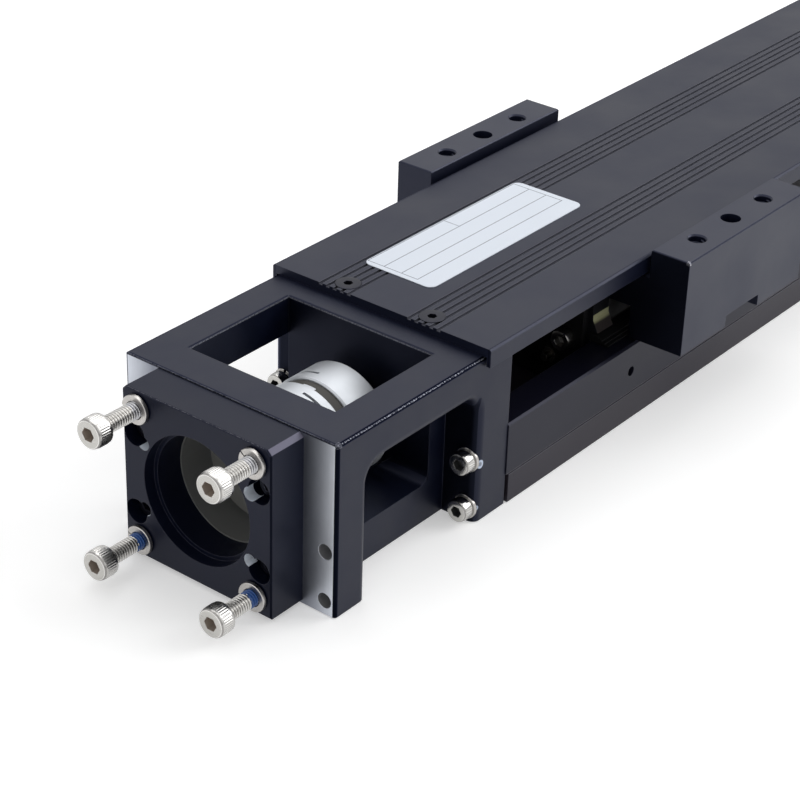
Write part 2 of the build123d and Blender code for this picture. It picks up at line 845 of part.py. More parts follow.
# Coupling: two clamping hubs, each with a tenon in the centre disc, one across the other
with BuildPart(front_hub_place) as coupling_front_hub:
    add(coupling_hub(front_hub_length, motor_shaft_radius, tenon_crossing))

with BuildPart(rear_hub_place) as coupling_rear_hub:
    add(coupling_hub(rear_hub_length, end_journal_radius + shaft_fit_clearance, 0))

with BuildPart() as coupling_centre_disc:
    with BuildSketch(facing_rear(centre_disc_front, axis_height)):
        Circle(centre_disc_radius)
        Circle(centre_disc_bore_radius, mode=Mode.SUBTRACT)
    extrude(amount=coupling_gap)
    slot_width = tenon_width + 2 * tenon_clearance
    slot_depth = tenon_height + tenon_clearance
    with BuildSketch(facing_rear(centre_disc_front, axis_height)):
        Rectangle(slot_width, 2 * coupling_radius)
    extrude(amount=slot_depth, mode=Mode.SUBTRACT)
    with BuildSketch(facing_rear(rear_hub_front, axis_height)):
        Rectangle(2 * coupling_radius, slot_width)
    extrude(amount=-slot_depth, mode=Mode.SUBTRACT)

with BuildPart() as coupling_clamp_screws:
    for hub_place, length in (
        (front_hub_place, front_hub_length),
        (rear_hub_place, rear_hub_length),
    ):
        with Locations(hub_place * clamp_screw_seat(length).location):
            add(
                socket_screw(
                    m3_radius,
                    m3_head_radius,
                    m3_head_height,
                    clamp_screw_length,
                    m3_socket_width,
                )
            )

# Rubber bumpers at both ends of the travel
with BuildPart() as front_bumper:
    with Locations(facing_rear(rail_front + retainer_thickness, axis_height)):
        Cylinder(bumper_radius, front_bumper_length, align=low)
        Cylinder(bumper_bore_radius, front_bumper_length, align=low, mode=Mode.SUBTRACT)

with BuildPart() as rear_bumper:
    with Locations(facing_rear(rail_rear, axis_height)):
        Cylinder(bumper_radius, rear_bumper_length, align=high)
        Cylinder(bumper_bore_radius, rear_bumper_length, align=high, mode=Mode.SUBTRACT)

# Carriage block with its ball nut bore, raceways and return bores
with BuildPart() as nut_block:
    with BuildSketch(facing_rear(block_front)) as block_section:
        with Locations((0, (block_bottom + block_top) / 2)):
            Rectangle(block_width, block_top - block_bottom)
        chamfer(block_section.vertices().group_by(Axis.Y)[0], length=block_edge_chamfer)
        with Locations((0, axis_height)):
            Circle(nut_bore_radius, mode=Mode.SUBTRACT)
        with Locations(*race_places):
            Circle(race_radius, mode=Mode.SUBTRACT)
        with Locations(*return_places):
            Circle(return_bore_radius, mode=Mode.SUBTRACT)
    extrude(amount=block_length)
    with Locations(facing_rear(block_rear), facing_front(block_front)):
        with Locations(*cap_screw_places):
            Hole(m3_radius + hole_clearance, depth=cap_screw_length)
    with Locations((carriage_position, 0, block_top)):
        with GridLocations(2 * table_screw_x, 2 * table_screw_y, 2, 2):
            Hole(m4_radius + hole_clearance, depth=table_screw_length)


def end_cap(start):
    """Nylon end cap from start towards +X, flared above the side seals."""
    with BuildPart() as cap:
        side = block_width / 2
        seal_top = rail_height + side_seal_gap + side_seal_thickness
        with BuildSketch(facing_rear(start)):
            with BuildLine() as outline:
                Polyline(
                    (0, block_bottom),
                    (side - block_edge_chamfer, block_bottom),
                    (side, block_bottom + block_edge_chamfer),
                    (side, seal_top),
                    (side + cap_flare_width, seal_top),
                    (side, seal_top + cap_flare_height),
                    (side, block_top - cap_top_gap),
                    (0, block_top - cap_top_gap),
                )
                mirror(outline.line, about=Plane.YZ)
            make_face()
            with Locations((0, axis_height)):
                Circle(cap_shaft_radius, mode=Mode.SUBTRACT)
            with Locations(*cap_screw_places):
                Circle(m3_radius + hole_clearance, mode=Mode.SUBTRACT)
        extrude(amount=cap_thickness)
    return cap.part


with BuildPart() as front_end_cap:
    add(end_cap(block_front - cap_thickness))

with BuildPart() as rear_end_cap:
    add(end_cap(block_rear))


def seal_plate(start):
    """Thin end plate from start towards +X that wipes the channel and carries the screws' heads."""
    with BuildPart() as plate:
        with BuildSketch(facing_rear(start)) as plate_section:
            with Locations((0, (block_bottom + block_top) / 2)):
                Rectangle(
                    block_width - 2 * seal_plate_inset,
                    block_top - block_bottom - 2 * cap_top_gap,
                )
            chamfer(plate_section.vertices().group_by(Axis.Y)[0], length=block_edge_chamfer)
            with Locations((0, axis_height)):
                Circle(seal_plate_bore_radius, mode=Mode.SUBTRACT)
            with Locations(*cap_screw_places):
                Circle(m3_radius + hole_clearance, mode=Mode.SUBTRACT)
        extrude(amount=seal_plate_thickness)
    return plate.part


with BuildPart() as front_seal_plate:
    add(seal_plate(carriage_position - slider_half))

with BuildPart() as rear_seal_plate:
    add(seal_plate(carriage_position + slider_half - seal_plate_thickness))

with BuildPart() as front_cap_screws:
    with Locations(facing_front(carriage_position - slider_half)):
        with Locations(*cap_screw_places):
            add(
                socket_screw(
                    m3_radius,
                    m3_head_radius,
                    m3_head_height,
                    cap_screw_length,
                    m3_socket_width,
                )
            )

with BuildPart() as rear_cap_screws:
    with Locations(facing_rear(carriage_position + slider_half)):
        with Locations(*cap_screw_places):
            add(
                socket_screw(
                    m3_radius,
                    m3_head_radius,
                    m3_head_height,
                    cap_screw_length,
                    m3_socket_width,
                )
            )


def side_seal(side):
    """Ribbed rubber seal along one side of the carriage, just above the rail wall."""
    inner = block_width / 2
    base = rail_height + side_seal_gap
    outer = inner + side_seal_reach
    length = 2 * (slider_half - side_seal_setback)
    step = side_seal_reach / side_seal_steps
    with BuildPart() as seal:
        with BuildSketch(facing_rear(carriage_position - length / 2)):
            with BuildLine():
                Polyline(
                    (side * inner, base),
                    (side * outer, base),
                    (side * outer, base + side_seal_rib),
                    (side * (outer - step / 2), base + side_seal_rib),
                    (side * (outer - step / 2), base + 2 * side_seal_rib),
                    (side * (outer - step), base + 2 * side_seal_rib),
                    (side * (outer - step), base + 3 * side_seal_rib),
                    (side * (inner + step), base + side_seal_thickness),
                    (side * inner, base + side_seal_thickness),
                    close=True,
                )
            make_face()
        extrude(amount=length)
    return seal.part


with BuildPart() as left_side_seal:
    add(side_seal(1))

with BuildPart() as right_side_seal:
    add(side_seal(-1))

# Carriage table: a web under the cover that carries the two raised arms
with BuildPart() as carriage_table:
    with BuildSketch(facing_rear(carriage_position - table_length / 2)):
        with Locations((0, wing_bottom)):
            Rectangle(table_width, arm_top - wing_bottom, align=upward)
            Rectangle(wing_inner_width, block_top - wing_bottom, align=upward, mode=Mode.SUBTRACT)
        with Locations((0, table_web_top)):
            Rectangle(arm_inner_width, arm_top - table_web_top, align=upward, mode=Mode.SUBTRACT)
    extrude(amount=table_length)
    arm_faces = carriage_table.faces().filter_by(Axis.Z).group_by(Axis.Z)[-1]
    chamfer(arm_faces.edges(), length=arm_edge_chamfer)
    with Locations((carriage_position, 0, wing_bottom)):
        Box(notch_length, table_width, notch_height, align=low, mode=Mode.SUBTRACT)
    with Locations(Plane.XY.offset(arm_top)):
        with Locations((carriage_position, 0)):
            with GridLocations(2 * arm_hole_pitch, arm_hole_spacing, 2, 2):
                CounterSinkHole(arm_thread_radius, arm_mouth_radius, depth=arm_thread_depth)
            with GridLocations(0, arm_hole_spacing, 1, 2):
                Hole(arm_dowel_radius, depth=arm_dowel_depth)
    with Locations((carriage_position, 0, table_web_top)):
        with GridLocations(2 * table_screw_x, 2 * table_screw_y, 2, 2):
            CounterBoreHole(
                m4_radius + hole_clearance,
                m4_head_radius + head_clearance,
                table_screw_head_depth,
                depth=table_web_top - block_top,
            )

with BuildPart() as table_screws:
    with Locations((carriage_position, 0, table_web_top - table_screw_head_depth)):
        with GridLocations(2 * table_screw_x, 2 * table_screw_y, 2, 2):
            add(
                socket_screw(
                    m4_radius,
                    m4_head_radius,
                    m4_head_height,
                    table_screw_length,
                    m4_socket_width,
                )
            )

with BuildPart() as grease_nipple:
    with Locations(facing_front(carriage_position - slider_half)):
        with Locations((nipple_y, nipple_height)):
            Cylinder(nipple_neck_radius, nipple_length, align=low)
    with BuildSketch(facing_front(carriage_position - slider_half)):
        with Locations((nipple_y, nipple_height)):
            RegularPolygon(radius=nipple_hex_width / 2, side_count=6, major_radius=False)
    extrude(amount=nipple_hex_length)


def race_balls(side):
    """Two rows of load balls between one rail wall and the carriage block."""
    with BuildPart() as balls:
        with Locations(*[(carriage_position, side * race_y, height) for height in race_heights]):
            with GridLocations(race_ball_pitch, 0, race_balls_per_row, 1):
                Sphere(ball_diameter / 2)
    return balls.part


with BuildPart() as left_race_balls:
    add(race_balls(1))

with BuildPart() as right_race_balls:
    add(race_balls(-1))

# One file for each piece
pieces = {
    "rail": rail,
    "front_housing": front_housing,
    "motor_plate": motor_plate,
    "plate_fixing_screws": plate_fixing_screws,
    "motor_screws": motor_screws,
    "motor_spring_washers": motor_spring_washers,
    "front_housing_screws": front_housing_screws,
    "front_housing_washers": front_housing_washers,
    "bearing_outer_rings": bearing_outer_rings,
    "bearing_retainer": bearing_retainer,
    "retainer_screws": retainer_screws,
    "rear_housing": rear_housing,
    "rear_housing_screws": rear_housing_screws,
    "rear_bearing_outer_ring": rear_bearing_outer_ring,
    "rear_bore_plug": rear_bore_plug,
    "cover": cover,
    "cover_screws_front": cover_screws_front,
    "cover_screws_rear": cover_screws_rear,
    "blank_label": blank_label,
    "front_bumper": front_bumper,
    "rear_bumper": rear_bumper,
    "ball_screw": ball_screw,
    "coupling_front_hub": coupling_front_hub,
    "coupling_rear_hub": coupling_rear_hub,
    "coupling_centre_disc": coupling_centre_disc,
    "coupling_clamp_screws": coupling_clamp_screws,
    "lock_nut": lock_nut,
    "bearing_collar": bearing_collar,
    "bearing_inner_rings": bearing_inner_rings,
    "bearing_balls": bearing_balls,
    "rear_bearing_inner_ring": rear_bearing_inner_ring,
    "rear_bearing_balls": rear_bearing_balls,
    "rear_circlip": rear_circlip,
    "nut_block": nut_block,
    "front_end_cap": front_end_cap,
    "rear_end_cap": rear_end_cap,
    "front_seal_plate": front_seal_plate,
    "rear_seal_plate": rear_seal_plate,
    "front_cap_screws": front_cap_screws,
    "rear_cap_screws": rear_cap_screws,
    "left_side_seal": left_side_seal,
    "right_side_seal": right_side_seal,
    "carriage_table": carriage_table,
    "table_screws": table_screws,
    "grease_nipple": grease_nipple,
    "left_race_balls": left_race_balls,
    "right_race_balls": right_race_balls,
}
os.makedirs("parts", exist_ok=True)
for name, piece in pieces.items():
    piece.part.label = name
    export_step(piece.part, f"parts/{name}.step")
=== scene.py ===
"""Looks of a ball screw linear stage, seen from above its motor end.

Lengths are millimetres in the stage's own frame until a piece is finished: +X runs along the
travel away from the motor, +Z is up from the mounting face, the rail's centre is the origin.
"""
import logging
import math
from dataclasses import dataclass, replace
from enum import Enum
from typing import Dict, List, Optional, Sequence, Tuple

import bmesh
import bpy
from mathutils import Matrix, Vector


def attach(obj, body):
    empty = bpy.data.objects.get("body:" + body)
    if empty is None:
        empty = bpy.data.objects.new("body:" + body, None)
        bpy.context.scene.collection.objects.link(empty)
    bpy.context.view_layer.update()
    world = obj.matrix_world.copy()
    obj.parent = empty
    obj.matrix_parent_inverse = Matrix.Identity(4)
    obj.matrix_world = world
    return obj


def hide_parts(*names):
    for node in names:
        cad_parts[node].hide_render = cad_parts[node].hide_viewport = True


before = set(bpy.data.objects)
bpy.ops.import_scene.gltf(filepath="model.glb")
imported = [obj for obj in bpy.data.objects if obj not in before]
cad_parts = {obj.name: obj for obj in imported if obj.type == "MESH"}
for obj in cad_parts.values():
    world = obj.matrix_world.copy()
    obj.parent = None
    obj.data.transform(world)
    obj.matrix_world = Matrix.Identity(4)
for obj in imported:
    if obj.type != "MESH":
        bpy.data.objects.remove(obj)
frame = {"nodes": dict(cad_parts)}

Colour = Tuple[float, float, float]
Point = Tuple[float, float, float]
Profile = Sequence[Tuple[float, float]]
Shade = Tuple[Point, Point, float]
Socket = bpy.types.NodeSocket

MM = 0.001
SIDES = (-1, 1)
SCREW_LINE = 21.4  # height of the screw's axis
PLATE_FRONT = -269.5
HOUSING_FRONT = -259.5
PAINT_BLACK = (0.0011, 0.0020, 0.0075)
# Black that mirrors nothing, mixed in as painted shade.
SHADE_BLACK = (0.0015, 0.0022, 0.0050)
COOL_SHEEN = (0.68, 0.72, 1.0)
SMOOTH_ANGLE = math.radians(35)  # faces that meet at less are shaded as one
MERGED = 1e-4  # vertices that lie nearer are one, in millimetres
ROUND_STEPS = 48  # faces round a plain turned piece
log = logging.getLogger("stage")


class Slot(Enum):
    """Material slots of the stage."""

    BLACKENED_STEEL = "blackened_steel"
    BLACK_ANODISED = "black_anodised"
    STAINLESS_STEEL = "stainless_steel"
    BLACK_OXIDE_STEEL = "black_oxide_steel"
    GROUND_STEEL = "ground_steel"
    SILVER_ALUMINIUM = "silver_aluminium"
    GREY_POLYMER = "grey_polymer"
    CREAM_NYLON = "cream_nylon"
    BLACK_RUBBER = "black_rubber"
    BLACK_PLASTIC = "black_plastic"
    WHITE_FILM = "white_film"
    NICKEL_BRASS = "nickel_brass"


class Body(Enum):
    """Bodies that move against each other."""

    BASE = "base"
    SCREW = "screw"
    CARRIAGE = "carriage"


class Facing(Enum):
    """Direction that a fastener's head looks in."""

    FRONT = "front"
    REAR = "rear"
    UP = "up"


@dataclass(frozen=True)
class BoltPattern:
    """Four holes that mirror each other across the stage's middle and about a height."""

    across: float
    middle: float
    rise: float

    def spots(self) -> List[Tuple[float, float]]:
        """Gives the holes' places across and up, in millimetres."""
        heights = [self.middle + up * self.rise for up in SIDES]
        return [(side * self.across, height) for side in SIDES for height in heights]


MOTOR_BOLTS = BoltPattern(16.263, SCREW_LINE, 16.263)
PLATE_FIXINGS = BoltPattern(17.5, SCREW_LINE, 9.7)
JACK_HOLES = BoltPattern(15.0, SCREW_LINE, 8.2)
HOUSING_BOLTS = BoltPattern(26.8, 9.5, 6.1)


def scaled(colour: Colour, factor: float) -> Colour:
    """Gives a colour with each channel times factor."""
    return tuple(value * factor for value in colour)


def place_at(facing: Facing, point: Point) -> Matrix:
    """Gives the place of a piece whose local Z looks in one of the stage's directions.

    Args:
        facing: Direction of the piece's local Z.
        point: Where the piece's origin goes, in millimetres.

    Returns:
        The matrix that carries the piece to its place.
    """
    columns = {
        Facing.FRONT: ((0, -1, 0), (0, 0, 1), (-1, 0, 0)),
        Facing.REAR: ((0, 1, 0), (0, 0, 1), (1, 0, 0)),
        Facing.UP: ((1, 0, 0), (0, 1, 0), (0, 0, 1)),
    }[facing]
    turn = Matrix(columns).transposed().to_4x4()
    return Matrix.Translation(point) @ turn


class Graph:
    """Node tree of one material, with short ways to add the nodes it needs."""

    def __init__(self, name: str) -> None:
        """Starts a material that holds a shader and an output.

        Args:
            name: Name of the material.
        """
        self.material = bpy.data.materials.new(name)
        self.material.use_nodes = True
        self.tree = self.material.node_tree
        self.tree.nodes.clear()
        output = self.tree.nodes.new("ShaderNodeOutputMaterial")
        self.shader = self.tree.nodes.new("ShaderNodeBsdfPrincipled")
        self.tree.links.new(self.shader.outputs[0], output.inputs[0])
        self.coordinates = self.tree.nodes.new("ShaderNodeTexCoord").outputs["Object"]
        self._parts: Optional[Dict[str, Socket]] = None

    def feed(self, socket: Socket, value: object) -> None:
        """Puts a number, a colour or another node's output on a socket.

        Args:
            socket: Input that takes the value.
            value: Number, colour or output socket.
        """
        if isinstance(value, bpy.types.NodeSocket):
            self.tree.links.new(value, socket)
        elif isinstance(value, tuple) and len(value) == 3 and socket.type == "RGBA":
            socket.default_value = (*value, 1.0)
        else:
            socket.default_value = value

    def set(self, name: str, value: object) -> None:
        """Sets one of the shader's own inputs."""
        self.feed(self.shader.inputs[name], value)

    def math(self, operation: str, first: object, second: object = 0.0) -> Socket:
        """Adds a Math node.

        Args:
            operation: Name of the operation.
            first: First operand.
            second: Second operand.

        Returns:
            The result.
        """
        node = self.tree.nodes.new("ShaderNodeMath")
        node.operation = operation
        self.feed(node.inputs[0], first)
        self.feed(node.inputs[1], second)
        return node.outputs[0]

    def plus(self, first: object, second: object) -> Socket:
        """Adds two numbers."""
        return self.math("ADD", first, second)

    def minus(self, first: object, second: object) -> Socket:
        """Takes the second number from the first."""
        return self.math("SUBTRACT", first, second)

    def times(self, first: object, second: object) -> Socket:
        """Multiplies two numbers, or keeps what two masks share."""
        return self.math("MULTIPLY", first, second)

    def larger(self, first: object, second: object) -> Socket:
        """Gives the larger of two numbers, or joins two masks."""
        return self.math("MAXIMUM", first, second)

    def below(self, value: object, limit: object) -> Socket:
        """Gives one where value is less than limit."""
        return self.math("LESS_THAN", value, limit)

    def above(self, value: object, limit: object) -> Socket:
        """Gives one where value is greater than limit."""
        return self.math("GREATER_THAN", value, limit)

    def inverse(self, mask: Socket) -> Socket:
        """Gives one where the mask is zero."""
        return self.math("SUBTRACT", 1.0, mask)

    def axis(self, letter: str) -> Socket:
        """Gives one of the piece's own coordinates, split once.

        Args:
            letter: Axis that it runs along.

        Returns:
            The coordinate, in metres.
        """
        if self._parts is None:
            node = self.tree.nodes.new("ShaderNodeSeparateXYZ")
            self.tree.links.new(self.coordinates, node.inputs[0])
            self._parts = {axis: node.outputs[axis] for axis in "XYZ"}
        return self._parts[letter]

    def noise(
        self,
        size: float,
        detail: float = 2.0,
        roughness: float = 0.5,
        stretch: Point = (1, 1, 1),
        shift: Point = (0, 0, 0),
    ) -> Socket:
        """Adds a noise whose features are about as large as size.

        Args:
            size: Feature size in millimetres.
            detail: Octaves of finer noise.
            roughness: Weight of the finer octaves.
            stretch: How many times longer the features are along each axis.
            shift: Offset of the pattern in millimetres.

        Returns:
            The noise, about 0.5 on average.
        """
        mapping = self.tree.nodes.new("ShaderNodeMapping")
        mapping.inputs["Scale"].default_value = tuple(1 / value for value in stretch)
        mapping.inputs["Location"].default_value = tuple(value * MM for value in shift)
        self.tree.links.new(self.coordinates, mapping.inputs["Vector"])
        node = self.tree.nodes.new("ShaderNodeTexNoise")
        self.tree.links.new(mapping.outputs[0], node.inputs["Vector"])
        node.inputs["Scale"].default_value = 1 / (size * MM)
        node.inputs["Detail"].default_value = detail
        node.inputs["Roughness"].default_value = roughness
        return node.outputs[0]

    def spread(
        self,
        value: Socket,
        low: float,
        high: float,
        to_low: float = 0.0,
        to_high: float = 1.0,
    ) -> Socket:
        """Maps a value from one range to another and holds it there.

        Args:
            value: Value to map.
            low: Start of the range that it comes from.
            high: End of that range.
            to_low: Result at the start.
            to_high: Result at the end.

        Returns:
            The mapped value.
        """
        node = self.tree.nodes.new("ShaderNodeMapRange")
        self.feed(node.inputs["Value"], value)
        node.inputs["From Min"].default_value = low
        node.inputs["From Max"].default_value = high
        node.inputs["To Min"].default_value = to_low
        node.inputs["To Max"].default_value = to_high
        return node.outputs[0]

    def mix(self, share: object, first: object, second: object) -> Socket:
        """Mixes two colours, with share as the second one's part."""
        return self._mixed("RGBA", share, first, second)

    def blend(self, share: object, first: object, second: object) -> Socket:
        """Mixes two numbers, with share as the second one's part."""
        return self._mixed("FLOAT", share, first, second)

    def _mixed(self, kind: str, share: object, first: object, second: object) -> Socket:
        """Adds a Mix node.

        Args:
            kind: RGBA for colours or FLOAT for numbers.
            share: Part of the second value.
            first: First value.
            second: Second value.

        Returns:
            The mixed value.
        """
        node = self.tree.nodes.new("ShaderNodeMix")
        node.data_type = kind
        start, result = {"RGBA": (6, 2), "FLOAT": (2, 0)}[kind]
        self.feed(node.inputs[0], share)
        self.feed(node.inputs[start], first)
        self.feed(node.inputs[start + 1], second)
        return node.outputs[result]

    def away(self, value: Socket, centre: float) -> Socket:
        """Gives how far a length lies from centre (millimetres), in metres."""
        return self.math("ABSOLUTE", self.minus(value, centre * MM))

    def reach(self, letter: str, centre: float) -> Socket:
        """Gives the distance from a plane across an axis, in metres."""
        return self.away(self.axis(letter), centre)

    def stripe_at(self, value: Socket, centre: float, half: float) -> Socket:
        """Marks where a length in metres lies within half of centre, both in millimetres."""
        return self.below(self.away(value, centre), half * MM)

    def stripe(self, letter: str, centre: float, half: float) -> Socket:
        """Marks a band across an axis, within half of centre, both in millimetres."""
        return self.stripe_at(self.axis(letter), centre, half)

    def spot(self, centre: Point, radii: Point) -> Socket:
        """Gives one inside an ellipsoid and zero outside it.

        Args:
            centre: Middle of the ellipsoid in millimetres.
            radii: Its half sizes in millimetres.

        Returns:
            The mask.
        """
        total: object = 0.0
        for letter, middle, radius in zip("XYZ", centre, radii):
            share = self.math("DIVIDE", self.minus(self.axis(letter), middle * MM), radius * MM)
            total = self.plus(total, self.times(share, share))
        return self.spread(total, 1.15, 0.85)

    def block(self, centre: Point, half: Point) -> Socket:
        """Gives one inside a box and zero outside it.

        Args:
            centre: Middle of the box in millimetres.
            half: Its half sizes in millimetres.

        Returns:
            The mask.
        """
        inside: Optional[Socket] = None
        for letter, middle, reach in zip("XYZ", centre, half):
            band = self.stripe(letter, middle, reach)
            inside = band if inside is None else self.times(inside, band)
        return inside

    def radius(self, across: object, up: object) -> Socket:
        """Gives the length of a vector from its two parts."""
        return self.math("SQRT", self.plus(self.times(across, across), self.times(up, up)))

    def bolt_radius(self, pattern: BoltPattern) -> Socket:
        """Gives the distance from the axis of the nearest hole of a pattern.

        Args:
            pattern: Where the holes are.

        Returns:
            The distance, in metres.
        """
        side = self.minus(self.reach("Y", 0.0), pattern.across * MM)
        rise = self.minus(self.reach("Z", pattern.middle), pattern.rise * MM)
        return self.radius(side, rise)

    def wall(self, pattern: BoltPattern, radius: float, start: float, depth: float) -> Socket:
        """Marks the walls of a pattern's bores from start as deep as depth, in millimetres."""
        near = self.below(self.bolt_radius(pattern), (radius + 0.04) * MM)
        return self.times(near, self.stripe("X", start + depth / 2, depth / 2))

    def vary(self, clouds: Socket, level: float, down: float, up: float) -> Socket:
        """Lets a level drift with a cloud noise, by down below it and by up above it."""
        return self.spread(clouds, 0.3, 0.7, level - down, level + up)

    def paint_shade(self, colour: Socket, metal: object, share: Socket) -> Tuple[Socket, Socket]:
        """Paints shade: gives colour and metallic share with a share of black that mirrors nothing.
        """
        return self.mix(share, colour, SHADE_BLACK), self.larger(metal, share)

    def blocks(self, places: Sequence[Shade]) -> Socket:
        """Marks a row of boxes, each with its own strength.

        Args:
            places: Centre, half size and strength of each box.

        Returns:
            The mask.
        """
        total: Optional[Socket] = None
        for centre, half, strength in places:
            mark = self.times(self.block(centre, half), strength)
            total = mark if total is None else self.larger(total, mark)
        return total

    def surface(self, colour: object, metal: object, roughness: object, normal: Socket) -> None:
        """Puts the four main values on the shader.

        Args:
            colour: Base colour.
            metal: Metallic share.
            roughness: Roughness.
            normal: Normal with its relief.
        """
        self.set("Base Color", colour)
        self.set("Metallic", metal)
        self.set("Roughness", roughness)
        self.set("Normal", normal)

    def gloss(self, level: float, tint: Colour) -> None:
        """Sets how strongly, and in which tint, the surface mirrors what stands before it."""
        self.shader.inputs["Specular IOR Level"].default_value = level
        self.shader.inputs["Specular Tint"].default_value = (*tint, 1.0)

    def round_edges(self, radius: float) -> Tuple[Socket, Socket]:
        """Rounds the piece's sharp edges in its shading and finds them.

        Args:
            radius: Radius of the rounding in millimetres.

        Returns:
            The rounded normal, and a mask that is one at the edges.
        """
        bevel = self.tree.nodes.new("ShaderNodeBevel")
        bevel.samples = 6
        bevel.inputs["Radius"].default_value = radius * MM
        geometry = self.tree.nodes.new("ShaderNodeNewGeometry")
        dot = self.tree.nodes.new("ShaderNodeVectorMath")
        dot.operation = "DOT_PRODUCT"
        self.tree.links.new(bevel.outputs[0], dot.inputs[0])
        self.tree.links.new(geometry.outputs["Normal"], dot.inputs[1])
        edge = self.spread(dot.outputs["Value"], 0.995, 0.86)
        return bevel.outputs[0], edge

    def bump(self, height: Socket, depth: float, normal: Optional[Socket] = None) -> Socket:
        """Adds relief.

        Args:
            height: Height pattern.
            depth: Height of its relief in millimetres.
            normal: Normal that the relief is laid on.

        Returns:
            The normal with its relief.
        """
        node = self.tree.nodes.new("ShaderNodeBump")
        node.inputs["Distance"].default_value = depth * MM
        self.tree.links.new(height, node.inputs["Height"])
        if normal is not None:
            self.tree.links.new(normal, node.inputs["Normal"])
        return node.outputs[0]


@dataclass(frozen=True)
class Finish:
    """Finish of a piece's surface."""

    name: str
    slot: Slot

    def make(self) -> bpy.types.Material:
        """Builds the material, each finish in its own way."""
        raise NotImplementedError


@dataclass(frozen=True)
class Wear:
    """Box in which an edge is worn, with how bright and how broken the wear is."""

    centre: Point
    half: Point
    strength: float = 1.0
    broken: float = 0.5

    def mask(self, graph: Graph, dots: Socket, least: float) -> Socket:
        """Finds the worn metal, broken up by dots but never to less than least of it."""
        spots = graph.spread(dots, 0.5 - self.broken * 0.2, 0.5 + self.broken * 0.1, least)
        return graph.times(graph.times(graph.block(self.centre, self.half), spots), self.strength)


